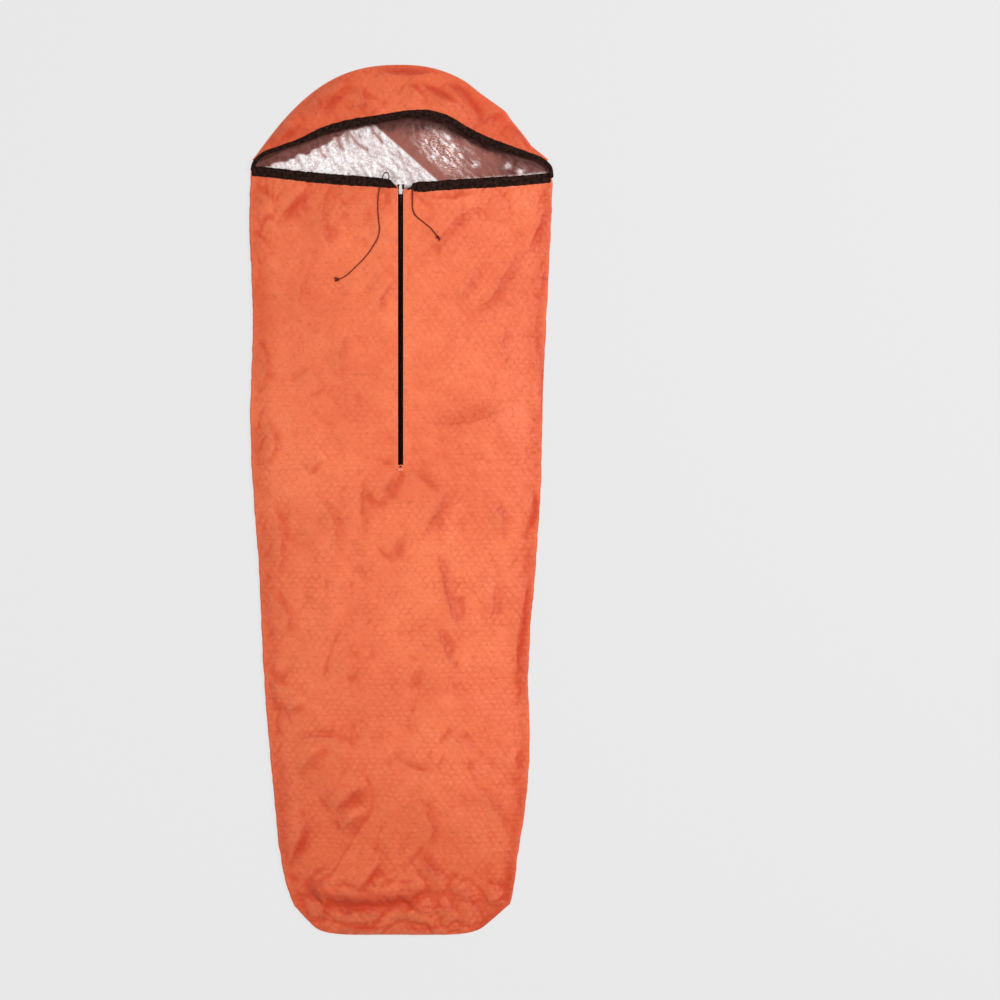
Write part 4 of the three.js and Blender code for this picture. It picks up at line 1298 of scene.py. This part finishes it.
def stitch_row(name, line, heights, rise, material, pitch=3.6, length=2.6, radius=0.32):
    """Stitches along a line: short threads that dip into the film at both ends."""
    path = curve_points(line, pitch)
    along, across = ways(path)
    sides = 5
    angles = 2 * np.pi * np.arange(sides) / sides
    rings = []
    for step, up, fat in ((-0.5, -0.6, 0.55), (-0.3, 0.45, 1.0), (0.3, 0.45, 1.0), (0.5, -0.6, 0.55)):
        centre = path + along * step * length
        ground = heights(centre[:, 0], centre[:, 1]) + rise + up * radius
        spots = centre[:, None] + across[:, None] * (np.cos(angles) * radius * fat)[None, :, None]
        lift = ground[:, None] + (np.sin(angles) * radius * fat)[None]
        rings.append(np.concatenate([spots, lift[:, :, None]], 2))
    points = np.stack(rings, 1).reshape(-1, 3)
    faces = []
    for base in range(0, len(points), 4 * sides):
        for j in range(3):
            low = base + j * sides
            for k in range(sides):
                n = (k + 1) % sides
                faces.append([low + k, low + sides + k, low + sides + n, low + n])
        faces.append([base + k for k in range(sides)])
        faces.append([base + 3 * sides + k for k in range(sides - 1, -1, -1)])
    row = plain_object(name, points, faces, material)
    return row


def mouth_rim_height(x, y):
    return front_top(x, y - 4) + 0.4


def add_hood_rim():
    widths = [
        (0, 5.4), (0.08, 5), (0.15, 5.6), (0.22, 8.4), (0.3, 10), (0.42, 9.4), (0.5, 7.8),
        (0.62, 8), (0.7, 9.2), (0.82, 9.4), (0.88, 6.8), (0.93, 5), (1, 5.4),
    ]

    def heights(x, y):
        return hood_rim_height(x)

    rings, path, across, z, half = rim_stations(HOOD_RIM, heights, widths, 90, 0)
    set_up(tube_piece("hood_binding", rings, BINDING_CLOTH), "hood_rim", "sack")
    set_up(lay_cord("hood_drawcord", path[3:-3], z[3:-3]), "drawcord_hood", "sack")
    seam = path + across * (half - SEAM_INSET)[:, None]
    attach(stitch_row("hood_stitches", seam[6:-6], heights, STITCH_RISE, BLACK_THREAD), "sack")


def add_mouth_rims():
    along_most = [(0, 12), (0.1, 12), (0.4, 12.4), (0.8, 12), (0.94, 11)]
    thin_end = [(0.952, 10), (0.972, 3.4), (1, 2.6)]
    for hand, seam_side, points, at_end, shear in (
        ("left", -1, LEFT_RIM, [(1, 10.4)], 1.05),
        ("right", 1, RIGHT_RIM[::-1] + [(16, 744)], thin_end, 0),
    ):
        rim = rim_stations(points, mouth_rim_height, along_most + at_end, 95, shear)
        rings, path, across, z, half = rim
        binding = tube_piece(f"mouth_binding_{hand}", rings, BINDING_CLOTH)
        set_up(binding, f"mouth_rim_{hand}")
        bend_at_fold(binding)
        # The drawcord inside is short of the corner, where the binding bends.
        free = int(len(path) * 0.16)
        inside = lay_cord(f"mouth_drawcord_{hand}", path[free:-2], z[free:-2])
        set_up(inside, f"drawcord_{hand}", f"flap_{hand}")
        seam = path + seam_side * across * (half - SEAM_INSET)[:, None]
        stitches = f"mouth_stitches_{hand}"
        bend_at_fold(stitch_row(stitches, seam[4:-4], mouth_rim_height, STITCH_RISE, BLACK_THREAD))


# The free ends of the drawcord: x, y and the height of the cord's middle over the film.
ON_RIM = 4.85
ON_FILM = 1.6
TAIL_LEFT = [
    (-30, 762, 3), (-28, 770, ON_RIM), (-28, 778, ON_RIM), (-32, 784, ON_RIM),
    (-37, 784, ON_RIM), (-41, 779, ON_RIM), (-44, 770, ON_RIM), (-47, 758, ON_RIM),
    (-50, 746, 4.2), (-53, 734, ON_FILM), (-54.5, 708, ON_FILM), (-53, 674, ON_FILM),
    (-50.5, 648, ON_FILM), (-54, 630, ON_FILM), (-64, 612, ON_FILM), (-75, 595, ON_FILM),
    (-92, 575, ON_FILM), (-113, 554, ON_FILM), (-131, 538, ON_FILM), (-146, 530, ON_FILM),
]
TAIL_RIGHT = [
    (36, 754, 2.6), (31, 748, 3.4), (29, 741, 3.6), (28.5, 731, ON_FILM), (28.5, 715, ON_FILM),
    (29, 698, ON_FILM), (33.5, 685, ON_FILM), (41, 676, ON_FILM), (50, 669, ON_FILM), (61, 660, ON_FILM),
    (71.5, 651.5, ON_FILM), (80, 641.5, ON_FILM), (85.5, 634, ON_FILM),
]


def tail_path(route):
    """The route at an even pitch, lying on the wrinkled film or over the binding."""
    path = curve_points(route, 2.5)
    film_y = np.minimum(path[:, 1], LEFT_RIM[-1][1])
    ground = np.max([front_top(path[:, 0] + aside, film_y) for aside in (-1.2, 0, 1.2)], 0)
    height = ground + path[:, 2]
    easy = np.convolve(np.pad(height, 2, mode="edge"), np.ones(5) / 5, mode="valid")
    return path[:, :2], np.maximum(height - 0.3, easy)


def knot_piece(name, centre, heading, tufts):
    """An overhand knot with its cut ends, as one mesh: a small three-lobed loop and the tufts."""
    turns = np.linspace(0, 2 * math.pi, 60, endpoint=False)
    lobe = np.stack([
        (np.sin(turns) + 2 * np.sin(2 * turns)) * KNOT_SIZE,
        (np.cos(turns) - 2 * np.cos(2 * turns)) * KNOT_SIZE,
        -np.sin(3 * turns),
    ], 1)
    turn = np.array([[math.cos(heading), -math.sin(heading)], [math.sin(heading), math.cos(heading)]])
    lobe[:, :2] = lobe[:, :2] @ turn.T
    points, faces = tube_round(lobe + np.array(centre), KNOT_CORD_RADIUS, 8, closed=True)
    for angle, length in tufts:
        steps = np.linspace(0.6, length, 6)
        for strand in range(5):
            way = angle + (strand - 2) * 0.16
            lift = 0.15 * (strand % 2) - 0.14 * steps
            line = np.stack([steps * math.cos(way), steps * math.sin(way), lift], 1) + np.array(centre)
            more, its_faces = tube_round(line, STRAND_RADIUS, 5, closed=False)
            faces += [[v + len(points) for v in f] for f in its_faces]
            points = np.concatenate([points, more])
    return plain_object(name, points, faces, BRAIDED_CORD)


def tube_round(line, radius, sides, closed):
    """Points and faces of a round tube along a line, closed on itself or with capped ends."""
    count = len(line)
    along = (np.roll(line, -1, 0) - np.roll(line, 1, 0)) if closed else np.gradient(line, axis=0)
    along /= np.linalg.norm(along, axis=1, keepdims=True)
    level = np.cross(along, [0.05, 0.1, 1.0])
    level /= np.linalg.norm(level, axis=1, keepdims=True)
    upright = np.cross(level, along)
    points = []
    for k in range(count):
        for j in range(sides):
            a = 2 * math.pi * j / sides
            points.append(line[k] + radius * (math.cos(a) * level[k] + math.sin(a) * upright[k]))
    faces = []
    for k in range(count if closed else count - 1):
        n = (k + 1) % count
        for j in range(sides):
            i = (j + 1) % sides
            faces.append([k * sides + j, k * sides + i, n * sides + i, n * sides + j])
    if not closed:
        faces.append(list(range(sides - 1, -1, -1)))
        faces.append([(count - 1) * sides + j for j in range(sides)])
    return np.array(points), faces


def repeated(points, faces, places):
    """Copies of one small shape, moved to each of the places."""
    every = (points[None] + np.asarray(places, float)[:, None]).reshape(-1, 3)
    copies = [[v + k * len(points) for v in face] for k in range(len(places)) for face in faces]
    return every, copies


def add_tails():
    for hand, route, knot_at, heading, tufts in (
        ("left", TAIL_LEFT, (-151, 529), 0.4, [(2.6, 8.5), (3.7, 7.5)]),
        ("right", TAIL_RIGHT, (88.5, 630), -0.8, [(-0.95, 10), (-0.75, 7)]),
    ):
        path, z = tail_path(route)
        cord = lay_cord(f"cord_tail_{hand}", path, z)
        ground = float(front_top(np.array(knot_at[0]), np.array(knot_at[1])))
        knot = knot_piece(f"cord_end_{hand}", (*knot_at, ground + 2.6), heading, tufts)
        set_up(cord, f"drawcord_tail_{hand}", f"flap_{hand}")
        set_up(knot, f"cord_knot_{hand}", f"flap_{hand}")


# ---------------------------------------------------------------- zip


def add_zip_tapes():
    for hand, side in (("left", -1), ("right", 1)):
        # The tapes meet under the end of the slit, and the coils hide the gap between them above it.
        y = np.linspace(TAPE_LOW_Y, TAPE_TOP_Y, 340)
        inner = 0.3 + 1.2 * ramp(y, 90, 96)
        outer = np.where(y > 742, 8.5, TAPE_HALF)
        shares = np.linspace(0, 1, 7)
        x = side * (inner[:, None] + (outer - inner)[:, None] * shares[None])
        rows = np.repeat(y[:, None], 7, 1)
        z = front_height(x, rows) - TAPE_DROP + 0.12 * noise(rows / 6, x, 12)
        grid = np.stack([x, rows, z], 2)
        if side < 0:
            grid = grid[:, ::-1]
        cloth = ZIP_TAPE_CLOTH
        piece = sheet_piece(f"zip_tape_{hand}", grid, cloth, cloth, thickness=TAPE_THICK)
        set_up(piece, f"zipper_tape_{hand}")
        bend_at_fold(piece)


# One loop of the right coil, round from the tape to the middle and back.
TOOTH_BEND = [
    (3.1, 0.3, -0.7), (2.7, 0.25, 0.75), (1.4, 0.05, 0.95), (0.1, 0, 0.8), (-0.5, -0.1, 0.0),
    (0.1, -0.15, -0.75), (1.6, -0.25, -0.8), (3.0, -0.4, -0.75),
]


def add_zip_coils():
    """Each coil is a row of rounded loops that reach over the middle between those of the other."""
    for hand, side in (("left", -1), ("right", 1)):
        start = COIL_LOW_Y + (0 if side < 0 else TOOTH_PITCH / 2)
        bend = np.array(TOOTH_BEND) * np.array([side, 1, 1])
        loop, loop_faces = tube_round(bend, TOOTH_RADIUS, 5, closed=False)
        y = np.arange(start, COIL_TOP_Y, TOOTH_PITCH)
        places = np.stack([0 * y, y, 0 * y + CREST - FILM - 0.1], 1)
        points, faces = repeated(loop, loop_faces, places)
        piece = plain_object(f"zip_coil_{hand}", points, faces, COIL_NYLON)
        set_up(piece, f"zipper_coil_{hand}")
        bend_at_fold(piece)


def add_zip_stitches():
    for hand, side in (("left", -1), ("right", 1)):
        line = [(side * (SLIT_HALF + 0.9), y) for y in (98, 300, 520, 742)]
        row = stitch_row(f"zip_stitches_{hand}", line, front_top, 0.05, GREY_THREAD, 3.4, 2.7, 0.36)
        bend_at_fold(row)


def dress_cad_nodes():
    for name in ("zipper_slider", "pull_tab"):
        paint(name, SLIDER_METAL)
    for name in ("zipper_top_stop_left", "zipper_top_stop_right", "zipper_bottom_stop"):
        paint(name, BLACKED_METAL)


def paint(name, material):
    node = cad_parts[name]
    node.data.materials.clear()
    node.data.materials.append(material)


def add_bartack():
    """The stitched bar under the zip: satin stitches side by side."""
    steps = np.linspace(-1, 1, 7)
    line = np.stack([0.15 * steps, 1.9 * steps, 1.0 * (1 - steps**2)], 1)
    stitch, stitch_faces = tube_round(line, 0.4, 6, closed=False)
    x = np.arange(-5.6, 5.7, 0.7)
    places = np.stack([x, 0 * x + BARTACK_Y, 0 * x + CREST + 0.2], 1)
    points, faces = repeated(stitch, stitch_faces, places)
    piece = plain_object("bartack_stitches", points, faces, ORANGE_THREAD)
    set_up(piece, "zipper_bartack", "sack")


add_studio()
add_tails()
add_front()
add_hood()
add_back()
add_seams()
add_hood_rim()
add_mouth_rims()
add_zip_tapes()
add_zip_coils()
add_zip_stitches()
add_bartack()
dress_cad_nodes()
